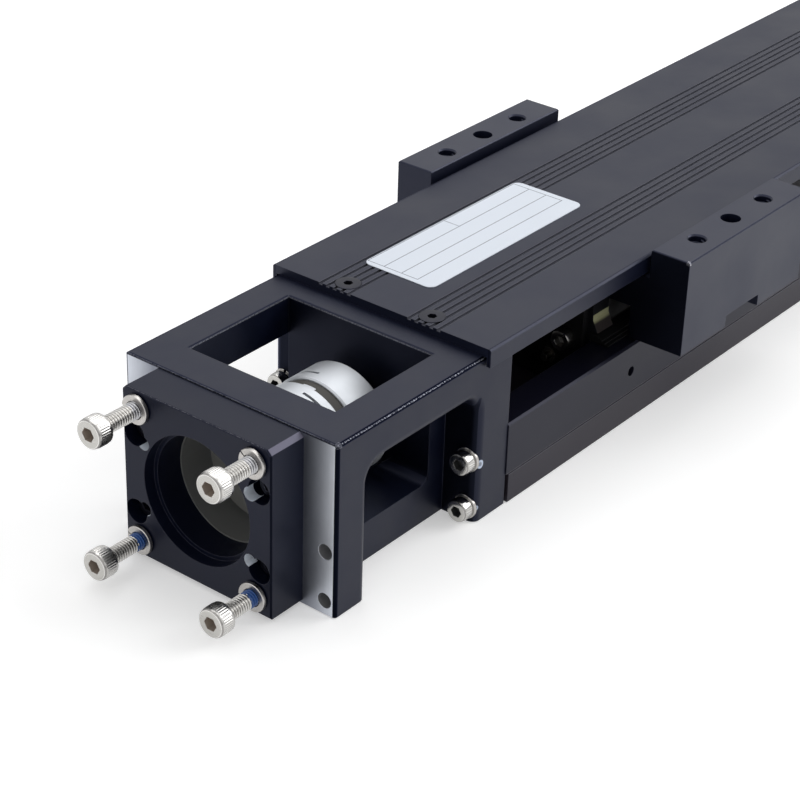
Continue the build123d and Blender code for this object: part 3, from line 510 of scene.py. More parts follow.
@dataclass(frozen=True)
class PaintedCasting(Finish):
    """Satin black paint over a casting, worn along some edges, with one raw machined face, and
    painted highlights, reflections and shade.
    """

    paint: Colour = PAINT_BLACK
    # Painted highlight colour of the rounded edges.
    edge: Colour = (0.055, 0.055, 0.070)
    chip: Colour = (0.34, 0.35, 0.40)
    reflection_rim: Colour = (0.62, 0.70, 0.85)
    reflection_core: Colour = (0.16, 0.18, 0.22)
    raw: Colour = (0.74, 0.77, 0.82)
    raw_shaded: Colour = (0.215, 0.225, 0.258)
    raw_line: Colour = (0.30, 0.32, 0.36)
    neck_wall: Colour = (0.155, 0.157, 0.150)
    bore_wall: Colour = (0.30, 0.30, 0.31)
    raw_face: Optional[float] = None
    raw_top: float = 41.8
    raw_half: float = 4.7
    width_half: float = 29.7
    height: float = 42.2
    chamfer: float = 0.5
    wear: Tuple[Wear, ...] = ()
    # Painted reflections, each a centre and half sizes.
    painted_reflections: Tuple[Tuple[Point, Point], ...] = ()
    bores: Optional[Tuple[BoltPattern, float]] = None
    neck_radius: Optional[float] = None
    wall_depth: float = 10.4
    # Boxes of painted shade, painted black so they mirror nothing.
    dark: Tuple[Shade, ...] = ()
    gloss: float = 0.36

    def make(self) -> bpy.types.Material:
        """Builds the material.

        Returns:
            Painted casting material.
        """
        graph = Graph(self.name)
        normal, edge = graph.round_edges(0.25)
        clouds = graph.noise(9, 3)
        grain = graph.noise(0.35, 3, 0.6)
        dots = graph.noise(0.42, 2, 0.6)
        colour = graph.mix(clouds, self.paint, scaled(self.paint, 1.8))
        # Painted highlight: the rounded edges are painted lighter.
        colour = graph.mix(graph.times(edge, 0.25), colour, self.edge)
        slope, bare = self._worn_ridge(graph, dots)
        for place in self.wear:
            bare = graph.larger(bare, place.mask(graph, dots, 0.25))
        colour = self._add_painted_reflections(graph, graph.mix(bare, colour, self.chip))
        roughness = graph.vary(clouds, 0.42, 0.04, 0.04)
        metal: Socket = graph.times(bare, 0.6)
        painted = graph.inverse(bare)
        # Painted shade: the two top chamfers and the dark boxes are painted black so they mirror
        # nothing.
        shade_mask = graph.times(slope, painted)
        if self.dark:
            shade_mask = graph.larger(shade_mask, graph.times(graph.blocks(self.dark), painted))
        if self.raw_face is not None:
            face = self._raw_mask(graph)
            colour = graph.mix(face, colour, self._raw_metal(graph))
            metal = graph.larger(metal, face)
            roughness = graph.blend(face, roughness, 0.42)
        colour, metal = graph.paint_shade(colour, metal, shade_mask)
        if self.neck_radius is not None:
            up = graph.minus(graph.axis("Z"), SCREW_LINE * MM)
            ring = graph.below(graph.radius(graph.axis("Y"), up), self.neck_radius * MM)
            half = self.wall_depth / 2
            ring = graph.times(ring, graph.stripe("X", self.raw_face + half - 0.1, half))
            colour = graph.mix(ring, colour, self.neck_wall)
        if self.bores is not None:
            wall = graph.wall(*self.bores, self.raw_face + 0.04, self.wall_depth)
            colour = graph.mix(wall, colour, self.bore_wall)
            metal = graph.larger(metal, graph.times(wall, 0.4))
        graph.surface(colour, metal, roughness, graph.bump(grain, 0.012, normal))
        graph.gloss(self.gloss, COOL_SHEEN)
        return graph.material

    def _worn_ridge(self, graph: Graph, dots: Socket) -> Tuple[Socket, Socket]:
        """Finds the two top chamfers and the broken bright line along them.

        Args:
            graph: Graph that takes the nodes.
            dots: Noise that breaks the line up.

        Returns:
            Mask of the chamfers, which take painted shade, and mask of the line.
        """
        out = graph.minus(graph.reach("Y", 0.0), self.width_half * MM)
        up = graph.minus(graph.axis("Z"), self.height * MM)
        rise = graph.plus(out, up)
        slope = graph.above(rise, -(self.chamfer + 0.26) * MM)
        on_slope = graph.above(rise, -(self.chamfer + 0.06) * MM)
        middle = graph.spread(graph.math("ABSOLUTE", graph.minus(out, up)), 0.28 * MM, 0.16 * MM)
        line = graph.times(on_slope, middle)
        return slope, graph.times(line, graph.spread(dots, 0.45, 0.60, 0.08, 0.85))

    def _add_painted_reflections(self, graph: Graph, colour: Socket) -> Socket:
        """Adds the painted reflections of the pocket screws' heads in the rounded pocket edge, each
        a bright rim round a dull core.

        Args:
            graph: Graph that takes the nodes.
            colour: Colour of the surface so far.

        Returns:
            Colour with the nicks.
        """
        for centre, radii in self.painted_reflections:
            core = graph.times(graph.spot(centre, scaled(radii, 0.5)), 0.7)
            colour = graph.mix(graph.spot(centre, radii), colour, self.reflection_rim)
            colour = graph.mix(core, colour, self.reflection_core)
        return colour

    def _raw_mask(self, graph: Graph) -> Socket:
        """Finds the raw face on both sides of the motor plate; above raw_top it stays painted
        black, a painted shadow in the gap above the plate.

        Args:
            graph: Graph that takes the nodes.

        Returns:
            The mask.
        """
        face = graph.below(graph.axis("X"), (self.raw_face + 0.03) * MM)
        face = graph.times(face, graph.below(graph.axis("Z"), self.raw_top * MM))
        middle = self.width_half - 5.3
        return graph.times(face, graph.stripe_at(graph.reach("Y", 0.0), middle, self.raw_half))

    def _raw_metal(self, graph: Graph) -> Socket:
        """Gives the cloudy milled metal, with painted light: dull beside the plate and bright
        towards the outer edge.

        Args:
            graph: Graph that takes the nodes.

        Returns:
            Its colour.
        """
        patches = graph.noise(9, 4, 0.6, stretch=(1, 1, 2.2), shift=(3, 8, 1))
        lines = graph.noise(0.16, 2, 0.5, stretch=(1, 1, 60))
        out = graph.plus(graph.reach("Y", 0.0), graph.times(patches, 5 * MM))
        lift = graph.times(graph.axis("Z"), -0.02)
        # Painted reflection: the face is painted brighter outwards and lower down.
        share = graph.spread(graph.plus(out, lift), 23.6 * MM, 31.4 * MM)
        silver = graph.mix(share, self.raw_shaded, self.raw)
        return graph.mix(graph.times(lines, 0.3), silver, self.raw_line)


@dataclass(frozen=True)
class Grooves:
    """Drawn grooves that run along the top, mirrored about the stage's middle."""

    middle: float
    pitch: float
    reach: float
    half: float
    bottom: float


@dataclass(frozen=True)
class Anodised(Finish):
    """Black anodised aluminium with drawn or blasted grain, with edges painted paler as a painted
    highlight.
    """

    colour: Colour = PAINT_BLACK
    edge_highlight: Colour = (0.10, 0.10, 0.125)
    worn: Colour = (0.62, 0.62, 0.68)
    jack_wall: Colour = (0.84, 0.90, 0.98)
    # Painted light in the groove floors and painted highlight on their lips.
    groove_floor_light: Colour = (0.032, 0.033, 0.042)
    groove_lip_highlight: Colour = (0.060, 0.061, 0.074)
    edge_highlight_share: float = 0.5
    roughness: float = 0.42
    gloss: float = 0.26
    drawn: float = 1.0
    edge_radius: float = 0.2
    ridge: Optional[Tuple[float, float, float]] = None
    # Painted highlight colour of the top chamfers.
    ridge_highlight: Colour = (0.145, 0.140, 0.185)
    wear: Tuple[Wear, ...] = ()
    jack_holes: Optional[Tuple[BoltPattern, float]] = None
    jack_depth: float = 2.9
    grooves: Optional[Grooves] = None
    # Painted shade: middle and half width of a thin black line along the top.
    shade_line: Optional[Tuple[float, float]] = None
    # Boxes of painted shade, painted black so they mirror nothing.
    dark: Tuple[Shade, ...] = ()

    def make(self) -> bpy.types.Material:
        """Builds the material.

        Returns:
            Anodised aluminium material.
        """
        graph = Graph(self.name)
        normal, edge = graph.round_edges(self.edge_radius)
        clouds = graph.noise(16, 3)
        grain = graph.noise(0.22, 3, 0.6, stretch=(self.drawn, 1, 1))
        broken = graph.spread(graph.noise(1.1, 3), 0.35, 0.6, 0.35)
        dots = graph.noise(0.5, 2, 0.6)
        colour = graph.mix(clouds, self.colour, scaled(self.colour, 1.7))
        # Painted highlight: edges painted paler, broken up by noise.
        rim = graph.times(graph.times(edge, broken), self.edge_highlight_share)
        colour = graph.mix(rim, colour, self.edge_highlight)
        # Painted highlight: the top chamfers are painted lighter.
        if self.ridge is not None:
            colour = graph.mix(self._ridge_mask(graph), colour, self.ridge_highlight)
        for place in self.wear:
            colour = graph.mix(place.mask(graph, dots, 0.2), colour, self.worn)
        metal: object = 0.0
        if self.jack_holes is not None:
            wall = graph.wall(*self.jack_holes, PLATE_FRONT + 0.03, self.jack_depth)
            colour = graph.mix(wall, colour, self.jack_wall)
            metal = graph.times(wall, 0.12)
        if self.grooves is not None:
            # Painted light: groove floors painted lighter against their shade, lips painted as thin
            # highlights.
            floor, lip = self._groove_masks(graph)
            colour = graph.mix(floor, colour, self.groove_floor_light)
            colour = graph.mix(lip, colour, self.groove_lip_highlight)
        # Painted shade: a thin line along the top near each side is painted black so it mirrors
        # nothing.
        if self.shade_line is not None:
            line = graph.times(graph.stripe_at(graph.reach("Y", 0.0), *self.shade_line), 0.65)
            colour, metal = graph.paint_shade(colour, metal, line)
        # Painted shade: the dark boxes are painted black.
        if self.dark:
            colour, metal = graph.paint_shade(colour, metal, graph.blocks(self.dark))
        roughness = graph.vary(clouds, self.roughness, 0.04, 0.05)
        graph.surface(colour, metal, roughness, graph.bump(grain, 0.010, normal))
        graph.gloss(self.gloss, COOL_SHEEN)
        return graph.material

    def _ridge_mask(self, graph: Graph) -> Socket:
        """Finds the faces of the two top chamfers.

        Args:
            graph: Graph that takes the nodes.

        Returns:
            The mask.
        """
        half, top, size = self.ridge
        out = graph.minus(graph.reach("Y", 0.0), half * MM)
        up = graph.minus(graph.axis("Z"), top * MM)
        slope = graph.above(graph.plus(out, up), -(size + 0.05) * MM)
        flats = graph.times(graph.below(up, -0.03 * MM), graph.below(out, -0.03 * MM))
        return graph.times(slope, flats)

    def _groove_masks(self, graph: Graph) -> Tuple[Socket, Socket]:
        """Finds the floors of the drawn grooves and the thin lips beside them.

        Args:
            graph: Graph that takes the nodes.

        Returns:
            Floor mask and lip mask.
        """
        groove = self.grooves
        turn = graph.minus(graph.reach("Y", 0.0), groove.middle * MM)
        turn = graph.math("DIVIDE", turn, groove.pitch * MM)
        inside = graph.below(graph.math("ABSOLUTE", turn), groove.reach)
        inside = graph.times(inside, graph.above(graph.axis("Z"), groove.bottom * MM))
        away = graph.math("ABSOLUTE", graph.minus(turn, graph.math("ROUND", turn)))
        floor = graph.times(inside, graph.below(away, (groove.half - 0.02) / groove.pitch))
        edge, thin = groove.half / groove.pitch / MM, 0.10 / groove.pitch / MM
        return floor, graph.times(inside, graph.stripe_at(away, edge, thin))


@dataclass(frozen=True)
class RailSteel(Finish):
    """Ground and blackened rail steel, browner below its datum line, bright in its raceways."""

    colour: Colour = (0.0020, 0.0020, 0.0080)
    low_colour: Colour = (0.0240, 0.0190, 0.0235)
    cloud_colour: Colour = (0.012, 0.012, 0.022)
    line_colour: Colour = (0.014, 0.014, 0.020)
    datum_light: Colour = (0.105, 0.103, 0.120)
    edge_highlight: Colour = (0.13, 0.13, 0.15)
    bright: Colour = (0.46, 0.45, 0.45)
    datum_height: float = 7.6
    datum_half: float = 0.30
    race_depth: float = 23.5
    race_heights: Tuple[float, float] = (11.2, 17.2)
    race_half: float = 1.6
    gloss: float = 0.27
    sheen_tint: Colour = (0.74, 0.76, 1.0)

    def make(self) -> bpy.types.Material:
        """Builds the material.

        Returns:
            Rail steel material.
        """
        graph = Graph(self.name)
        normal, edge = graph.round_edges(0.2)
        clouds = graph.noise(26, 4, 0.55, stretch=(2.4, 1, 1))
        lines = graph.noise(0.14, 2, 0.6, stretch=(180, 1, 1))
        lower = graph.below(graph.axis("Z"), self.datum_height * MM)
        colour = graph.mix(lower, self.colour, self.low_colour)
        colour = graph.mix(graph.times(clouds, 0.5), colour, self.cloud_colour)
        colour = graph.mix(graph.times(lines, 0.2), colour, self.line_colour)
        # Painted light: the datum groove is painted lighter against its own shade.
        datum = graph.times(graph.stripe("Z", self.datum_height, self.datum_half), 0.8)
        colour = graph.mix(datum, colour, self.datum_light)
        # Painted highlight: edges painted lighter.
        colour = graph.mix(graph.times(edge, 0.35), colour, self.edge_highlight)
        inner = graph.below(graph.reach("Y", 0.0), self.race_depth * MM)
        race: Optional[Socket] = None
        for height in self.race_heights:
            band = graph.stripe("Z", height, self.race_half)
            race = band if race is None else graph.larger(race, band)
        race = graph.times(race, inner)
        colour = graph.mix(race, colour, self.bright)
        roughness = graph.blend(race, graph.vary(clouds, 0.40, 0.06, 0.06), 0.22)
        graph.surface(colour, race, roughness, graph.bump(lines, 0.003, normal))
        graph.gloss(self.gloss, self.sheen_tint)
        return graph.material


@dataclass(frozen=True)
class BrightSteel(Finish):
    """Bright metal with fine machining marks."""

    colour: Colour = (0.60, 0.59, 0.58)
    edge_highlight: Colour = (0.85, 0.85, 0.85)
    roughness: float = 0.28
    clouded: float = 0.6

    def make(self) -> bpy.types.Material:
        """Builds the material.

        Returns:
            Bright metal material.
        """
        graph = Graph(self.name)
        normal, edge = graph.round_edges(0.1)
        clouds = graph.noise(3.5, 3)
        marks = graph.noise(0.18, 2, 0.55)
        dim = scaled(self.colour, 0.66)
        colour = graph.mix(graph.times(clouds, self.clouded), self.colour, dim)
        # Painted highlight: edges painted lighter.
        colour = graph.mix(graph.times(edge, 0.3), colour, self.edge_highlight)
        roughness = graph.vary(clouds, self.roughness, 0.05, 0.08)
        graph.surface(colour, 1.0, roughness, graph.bump(marks, 0.004, normal))
        return graph.material


@dataclass(frozen=True)
class ScrewSteel(Finish):
    """Stainless screws of a mirrored pattern, with painted shade in their knurls, thread roots and
    sockets and on their heads' fronts.
    """

    colour: Colour = (0.74, 0.73, 0.71)
    cloud_colour: Colour = (0.52, 0.51, 0.49)
    edge_highlight: Colour = (0.90, 0.90, 0.89)
    # Darker colour of the heads' fronts, a painted shade.
    face: Colour = (0.53, 0.52, 0.495)
    shade: Colour = (0.09, 0.080, 0.075)
    socket: Colour = (0.42, 0.36, 0.31)
    locker_blue: Colour = (0.004, 0.075, 0.30)
    shade_share: float = 0.62
    pattern: BoltPattern = MOTOR_BOLTS
    shank_radius: float = 2.0
    thread_depth: float = 0.42
    head_radius: float = 3.5
    knurl_depth: float = 0.16
    socket_radius: float = 1.74
    front: float = -283.1
    seat: float = -279.1
    left_lead: float = 0.0
    outward: float = -1.0
    roughness: float = 0.26
    locker: Optional[Tuple[float, float]] = None

    def make(self) -> bpy.types.Material:
        """Builds the material.

        Returns:
            Screw material.
        """
        graph = Graph(self.name)
        normal, edge = graph.round_edges(0.08)
        clouds = graph.noise(2.5, 3)
        marks = graph.noise(0.15, 2, 0.55)
        reach = graph.bolt_radius(self.pattern)
        lead = graph.times(graph.above(graph.axis("Y"), 0.0), self.left_lead * MM)
        out = graph.minus(graph.times(graph.axis("X"), self.outward), lead)
        head = graph.above(out, (self.seat * self.outward + 0.05) * MM)
        deep = self._valleys(graph, reach, head)
        colour = graph.mix(graph.times(clouds, 0.35), self.colour, self.cloud_colour)
        # Painted highlight: edges painted lighter.
        colour = graph.mix(graph.times(edge, 0.4), colour, self.edge_highlight)
        # Painted shade in the thread roots and knurl grooves.
        colour = graph.mix(deep, colour, self.shade)
        # Painted shade: the heads' fronts are painted darker than their sides.
        front = self.front * self.outward
        colour = graph.mix(graph.above(out, (front - 0.03) * MM), colour, self.face)
        # Painted shade: the socket is painted a dull colour that mirrors little.
        inside = graph.below(reach, self.socket_radius * MM)
        pit = graph.times(graph.times(inside, graph.below(out, (front - 0.04) * MM)), head)
        colour = graph.mix(pit, colour, self.socket)
        metal = graph.inverse(graph.times(pit, 0.75))
        rough = graph.blend(pit, graph.vary(clouds, self.roughness, 0.05, 0.06), 0.5)
        if self.locker is not None:
            film = self._locker_mask(graph)
            colour = graph.mix(film, colour, self.locker_blue)
            metal = graph.times(metal, graph.inverse(film))
            rough = graph.blend(film, rough, 0.3)
        graph.surface(colour, metal, rough, graph.bump(marks, 0.003, normal))
        return graph.material

    def _valleys(self, graph: Graph, reach: Socket, head: Socket) -> Socket:
        """Finds the roots of the thread and the grooves of the knurl, which take painted shade.

        Args:
            graph: Graph that takes the nodes.
            reach: Distance from the screw's axis.
            head: Mask of the head.

        Returns:
            The mask.
        """
        core = self.shank_radius - self.thread_depth + 0.05
        root = graph.spread(reach, core * MM, (self.shank_radius - 0.08) * MM, 1.0, 0.0)
        valley = self.head_radius - self.knurl_depth
        groove = graph.spread(reach, valley * MM, (self.head_radius - 0.05) * MM, 1.0, 0.0)
        rim = graph.above(reach, (self.head_radius - 0.35) * MM)
        thread = graph.times(root, graph.inverse(head))
        knurl = graph.times(graph.times(groove, rim), head)
        return graph.larger(*(graph.times(part, self.shade_share) for part in (thread, knurl)))

    def _locker_mask(self, graph: Graph) -> Socket:
        """Finds the thread locker, strong on the lower screws and faint on the upper ones.

        Args:
            graph: Graph that takes the nodes.

        Returns:
            The mask.
        """
        start, end = self.locker
        drips = graph.times(graph.noise(1.0, 2, shift=(0, 4, 4)), 1.4 * MM)
        near = graph.above(graph.plus(graph.axis("X"), drips), (start + 0.7) * MM)
        near = graph.times(near, graph.below(graph.axis("X"), end * MM))
        lower = graph.below(graph.axis("Z"), self.pattern.middle * MM)
        return graph.times(near, graph.blend(lower, 0.15, 0.95))


@dataclass(frozen=True)
class TurnedMetal(Finish):
    """Lathe-turned metal whose fine rings run round the screw line, and whose front face, where
    asked, is painted a dull grey as painted shade.
    """

    colour: Colour = (0.62, 0.645, 0.68)
    edge_highlight: Colour = (0.90, 0.92, 0.94)
    roughness: float = 0.48
    metallic: float = 1.0
    face: Optional[float] = None
    face_shade_colour: Colour = (0.17, 0.17, 0.16)
    ring_size: float = 0.12

    def make(self) -> bpy.types.Material:
        """Builds the material.

        Returns:
            Turned metal material.
        """
        graph = Graph(self.name)
        normal, edge = graph.round_edges(0.2)
        clouds = graph.noise(6, 3)
        up = graph.minus(graph.axis("Z"), SCREW_LINE * MM)
        spot = graph.tree.nodes.new("ShaderNodeCombineXYZ")
        graph.feed(spot.inputs[0], graph.axis("X"))
        graph.feed(spot.inputs[1], graph.radius(up, graph.axis("Y")))
        rings = graph.tree.nodes.new("ShaderNodeTexNoise")
        graph.feed(rings.inputs["Vector"], spot.outputs[0])
        rings.inputs["Scale"].default_value = 1 / (self.ring_size * MM)
        rings.inputs["Detail"].default_value = 2
        height = rings.outputs[0]
        dim = scaled(self.colour, 0.88)
        colour = graph.mix(clouds, self.colour, dim)
        colour = graph.mix(graph.times(height, 0.2), colour, dim)
        # Painted highlight: edges painted lighter.
        colour = graph.mix(graph.times(edge, 0.4), colour, self.edge_highlight)
        metal: object = self.metallic
        # Painted shade: the front face is painted a dull non-metallic grey.
        if self.face is not None:
            shaded_face = graph.below(graph.axis("X"), self.face * MM)
            colour = graph.mix(shaded_face, colour, self.face_shade_colour)
            metal = graph.times(graph.inverse(shaded_face), self.metallic)
        roughness = graph.vary(clouds, self.roughness, 0.04, 0.06)
        graph.surface(colour, metal, roughness, graph.bump(height, 0.003, normal))
        return graph.material


@dataclass(frozen=True)
class Moulded(Finish):
    """Moulded polymer, rubber or oxide-blacked part with a fine grain, softened edges painted
    lighter as a painted highlight, and where asked a band between two painted shades.
    """

    colour: Colour = (0.02, 0.02, 0.02)
    roughness: float = 0.5
    grain_size: float = 0.3
    grain_depth: float = 0.01
    edge_highlight_lift: float = 0.4
    variation: float = 0.5
    gloss: float = 0.35
    sheen_tint: Colour = (1.0, 1.0, 1.0)
    # Heights of the band between the two painted shades, and where the painted shade along the
    # front starts.
    pale_band: Optional[Tuple[float, float, float]] = None
    # Painted shade below the pale band.
    dull: Colour = (0.034, 0.028, 0.027)
    # Painted shade above the pale band and towards the front.
    grease: Colour = (0.0030, 0.0032, 0.0050)

    def make(self) -> bpy.types.Material:
        """Builds the material.

        Returns:
            Moulded material.
        """
        graph = Graph(self.name)
        normal, edge = graph.round_edges(0.15)
        clouds = graph.noise(5, 3)
        grain = graph.noise(self.grain_size, 3, 0.6)
        dim = scaled(self.colour, 1 - self.variation)
        # Painted highlight: edges painted lighter.
        lift = self.edge_highlight_lift
        light = tuple(min(1.0, value * (1 + lift) + 0.05 * lift) for value in self.colour)
        colour = graph.mix(edge, graph.mix(clouds, dim, self.colour), light)
        if self.pale_band is not None:
            # Painted shade: the cap is painted dark below and above a pale band, and towards the
            # front.
            low, high, start = self.pale_band
            lit_band = graph.spread(graph.axis("Z"), (low - 0.7) * MM, low * MM)
            colour = graph.mix(lit_band, self.dull, colour)
            shade_top = graph.above(graph.axis("Z"), high * MM)
            shade_top = graph.larger(shade_top, graph.below(graph.axis("X"), start * MM))
            colour = graph.mix(shade_top, colour, self.grease)
        roughness = graph.vary(clouds, self.roughness, 0.05, 0.07)
        graph.surface(colour, 0.0, roughness, graph.bump(grain, self.grain_depth, normal))
        graph.gloss(self.gloss, self.sheen_tint)
        return graph.material


@dataclass(frozen=True)
class LabelFilm(Finish):
    """Pale film label with the thin lines of an empty table."""

    film: Colour = (0.74, 0.79, 0.87)
    ink: Colour = (0.10, 0.11, 0.14)
    start: float = -196.0
    end: float = -136.0
    far_edge: float = 16.1
    left_margin: float = 1.5
    right_margin: float = 1.7
    rows: Tuple[float, ...] = (0.3, 5.0, 10.1, 14.8)
    divider: float = 30.0
    line_half: float = 0.11

    def make(self) -> bpy.types.Material:
        """Builds the material.

        Returns:
            Label film material.
        """
        graph = Graph(self.name)
        ink = self._lines(graph)
        soft = graph.noise(12, 3)
        fibre = graph.noise(0.3, 2)
        film = graph.mix(graph.times(soft, 0.5), self.film, scaled(self.film, 0.93))
        colour = graph.mix(graph.times(ink, 0.85), film, self.ink)
        graph.surface(colour, 0.0, graph.vary(soft, 0.45, 0.05, 0.05), graph.bump(fibre, 0.004))
        graph.set("Specular IOR Level", 0.3)
        return graph.material

    def _lines(self, graph: Graph) -> Socket:
        """Finds the lines of the empty table.

        Args:
            graph: Graph that takes the nodes.

        Returns:
            The mask.
        """
        left = self.start + self.left_margin
        right = self.end - self.right_margin
        top = self.far_edge - self.rows[0]
        low = self.far_edge - self.rows[-1]
        across = graph.stripe("X", (left + right) / 2, (right - left) / 2 + self.line_half)
        along = graph.stripe("Y", (top + low) / 2, (top - low) / 2 + self.line_half)
        ink: Socket = graph.times(along, graph.stripe("X", left, self.line_half))
        ink = graph.larger(ink, graph.times(along, graph.stripe("X", right, self.line_half)))
        first, second = self.rows[:2]
        cell = graph.stripe("Y", self.far_edge - (first + second) / 2, (second - first) / 2)
        line = graph.times(graph.stripe("X", self.start + self.divider, self.line_half), cell)
        ink = graph.larger(ink, graph.times(along, line))
        for row in self.rows:
            line = graph.stripe("Y", self.far_edge - row, self.line_half)
            ink = graph.larger(ink, graph.times(across, line))
        return ink


class Bench:
    """Where pieces are finished: keeps the frame's nodes and the materials made so far."""

    def __init__(self, nodes: Dict[str, bpy.types.Object]) -> None:
        """Starts the bench.

        Args:
            nodes: The frame's nodes by name.
        """
        self.nodes = nodes
        self.made: Dict[str, bpy.types.Material] = {}

    def material(self, finish: Finish) -> bpy.types.Material:
        """Gives the material of a finish, made once.

        Args:
            finish: Finish to give.

        Returns:
            Its material.
        """
        if finish.name not in self.made:
            self.made[finish.name] = finish.make()
        return self.made[finish.name]

    def dress(self, finish: Finish, *names: str) -> None:
        """Gives nodes of the frame a finish.

        Args:
            finish: Finish that they take.
            names: Names of the nodes.
        """
        for name in names:
            node = self.nodes[name]
            node.data.materials.clear()
            node.data.materials.append(self.material(finish))
            log.info("dressed %s in %s", name, finish.name)

    def fit(
        self,
        name: str,
        shape: bmesh.types.BMesh,
        body: Body,
        finish: Finish,
        replaced: Sequence[str] = (),
    ) -> None:
        """Makes a finished piece of a shape, puts it on its body and dresses it.

        Args:
            name: Name of the piece.
            shape: Its shape in millimetres, already in place. It is used up.
            body: Body that it moves with.
            finish: Finish that it takes.
            replaced: Nodes of the frame that it stands for.
        """
        bmesh.ops.remove_doubles(shape, verts=shape.verts[:], dist=MERGED)
        bmesh.ops.recalc_face_normals(shape, faces=shape.faces[:])
        bmesh.ops.scale(shape, vec=(MM, MM, MM), verts=shape.verts[:])
        for face in shape.faces:
            face.smooth = True
        for edge in shape.edges:
            if len(edge.link_faces) == 2 and edge.calc_face_angle(0.0) > SMOOTH_ANGLE:
                edge.smooth = False
        mesh = bpy.data.meshes.new(name)
        shape.to_mesh(mesh)
        shape.free()
        mesh.materials.append(self.material(finish))
        piece = bpy.data.objects.new(name, mesh)
        bpy.context.scene.collection.objects.link(piece)
        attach(piece, body.value)
        if replaced:
            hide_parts(*replaced)
        log.info("made %s: %d faces", name, len(mesh.polygons))


def spin(
    shape: bmesh.types.BMesh,
    parts: Sequence[object],
    angle: float,
    steps: int,
    rise: float = 0.0,
) -> None:
    """Spins points, edges or a face about the local Z.

    Args:
        shape: Shape that they are in.
        parts: What is spun.
        angle: Angle of the spin, in radians. A flat spin of a whole turn closes on itself.
        steps: Faces in that angle.
        rise: How far the whole spin climbs, in millimetres.
    """
    bmesh.ops.spin(
        shape,
        geom=list(parts),
        axis=(0, 0, 1),
        cent=(0, 0, 0),
        dvec=(0, 0, rise / steps),
        steps=steps,
        angle=angle,
        use_merge=rise == 0.0 and angle == math.tau,
        use_duplicate=False,
    )


def sweep(
    shape: bmesh.types.BMesh,
    section: Profile,
    angle: float,
    steps: int,
    rise: float,
) -> None:
    """Sweeps a closed section round the local Z as it climbs, its ends closed.

    Args:
        shape: Empty shape that takes it.
        section: Corners as (radius, height), in millimetres.
        angle: Angle of the sweep, in radians.
        steps: Faces in that angle.
        rise: How far the sweep climbs, in millimetres.
    """
    face = shape.faces.new([shape.verts.new((radius, 0, height)) for radius, height in section])
    spin(shape, [face, *face.edges, *face.verts], angle, steps, rise)


def lathe(
    shape: bmesh.types.BMesh,
    profile: Profile,
    steps: int,
    place: Optional[Matrix] = None,
) -> List[bmesh.types.BMVert]:
    """Spins a profile of radii and heights once round its local Z.

    Args:
        shape: Shape that it is added to.
        profile: Points as (radius, height), in millimetres.
        steps: Faces round the axis.
        place: Where the turned piece goes, if it moves.

    Returns:
        The new vertices.
    """
    before = set(shape.verts)
    points = [shape.verts.new((radius, 0, height)) for radius, height in profile]
    edges = [shape.edges.new(pair) for pair in zip(points, points[1:])]
    spin(shape, points + edges, math.tau, steps)
    made = [vert for vert in shape.verts if vert not in before]
    bmesh.ops.remove_doubles(shape, verts=made, dist=MERGED / 10)
    made = [vert for vert in shape.verts if vert not in before]
    if place is not None:
        bmesh.ops.transform(shape, matrix=place, verts=made)
    return made


def helix(
    shape: bmesh.types.BMesh,
    profile: Profile,
    lead: float,
    length: float,
    steps: int,
    place: Matrix,
) -> None:
    """Winds a profile of one lead into a closed right-hand thread from z = 0 to z = length.

    Args:
        shape: Shape that it is added to.
        profile: Points as (radius, height), one lead high.
        lead: Rise of one turn in millimetres.
        length: Length of the thread in millimetres.
        steps: Faces in one turn.
        place: Where the thread goes.
    """
    turn = bmesh.new()
    points = [turn.verts.new((radius, 0, height - lead)) for radius, height in profile]
    edges = [turn.edges.new(pair) for pair in zip(points, points[1:])]
    turns = math.ceil(length / lead) + 2
    spin(turn, points + edges, math.tau * turns, steps * turns, lead * turns)
    bmesh.ops.remove_doubles(turn, verts=turn.verts[:], dist=MERGED)
    for height, direction in ((0.0, -1), (length, 1)):
        bmesh.ops.bisect_plane(
            turn,
            geom=turn.verts[:] + turn.edges[:] + turn.faces[:],
            plane_co=(0, 0, height),
            plane_no=(0, 0, direction),
            clear_outer=True,
        )
    rims = [edge for edge in turn.edges if edge.is_boundary]
    bmesh.ops.holes_fill(turn, edges=rims)
    join(shape, turn, place)


def join(shape: bmesh.types.BMesh, other: bmesh.types.BMesh, place: Matrix) -> None:
    """Adds one shape to another at its place and frees it.

    Args:
        shape: Shape that grows.
        other: Shape that is added and used up.
        place: Where the added shape goes.
    """
    bmesh.ops.transform(other, matrix=place, verts=other.verts[:])
    carrier = bpy.data.meshes.new("carrier")
    other.to_mesh(carrier)
    other.free()
    shape.from_mesh(carrier)
    bpy.data.meshes.remove(carrier)


def sink(
    shape: bmesh.types.BMesh, ring: List[bmesh.types.BMEdge], depth: float
) -> List[bmesh.types.BMEdge]:
    """Extrudes a ring of edges down.

    Args:
        shape: Shape that the ring is in.
        ring: Edges that are extruded.
        depth: How far the new ring goes down, in millimetres.

    Returns:
        The new ring.
    """
    grown = bmesh.ops.extrude_edge_only(shape, edges=ring)["geom"]
    verts = [part for part in grown if isinstance(part, bmesh.types.BMVert)]
    bmesh.ops.translate(shape, vec=(0, 0, -depth), verts=verts)
    return [part for part in grown if isinstance(part, bmesh.types.BMEdge) and not part.is_manifold]


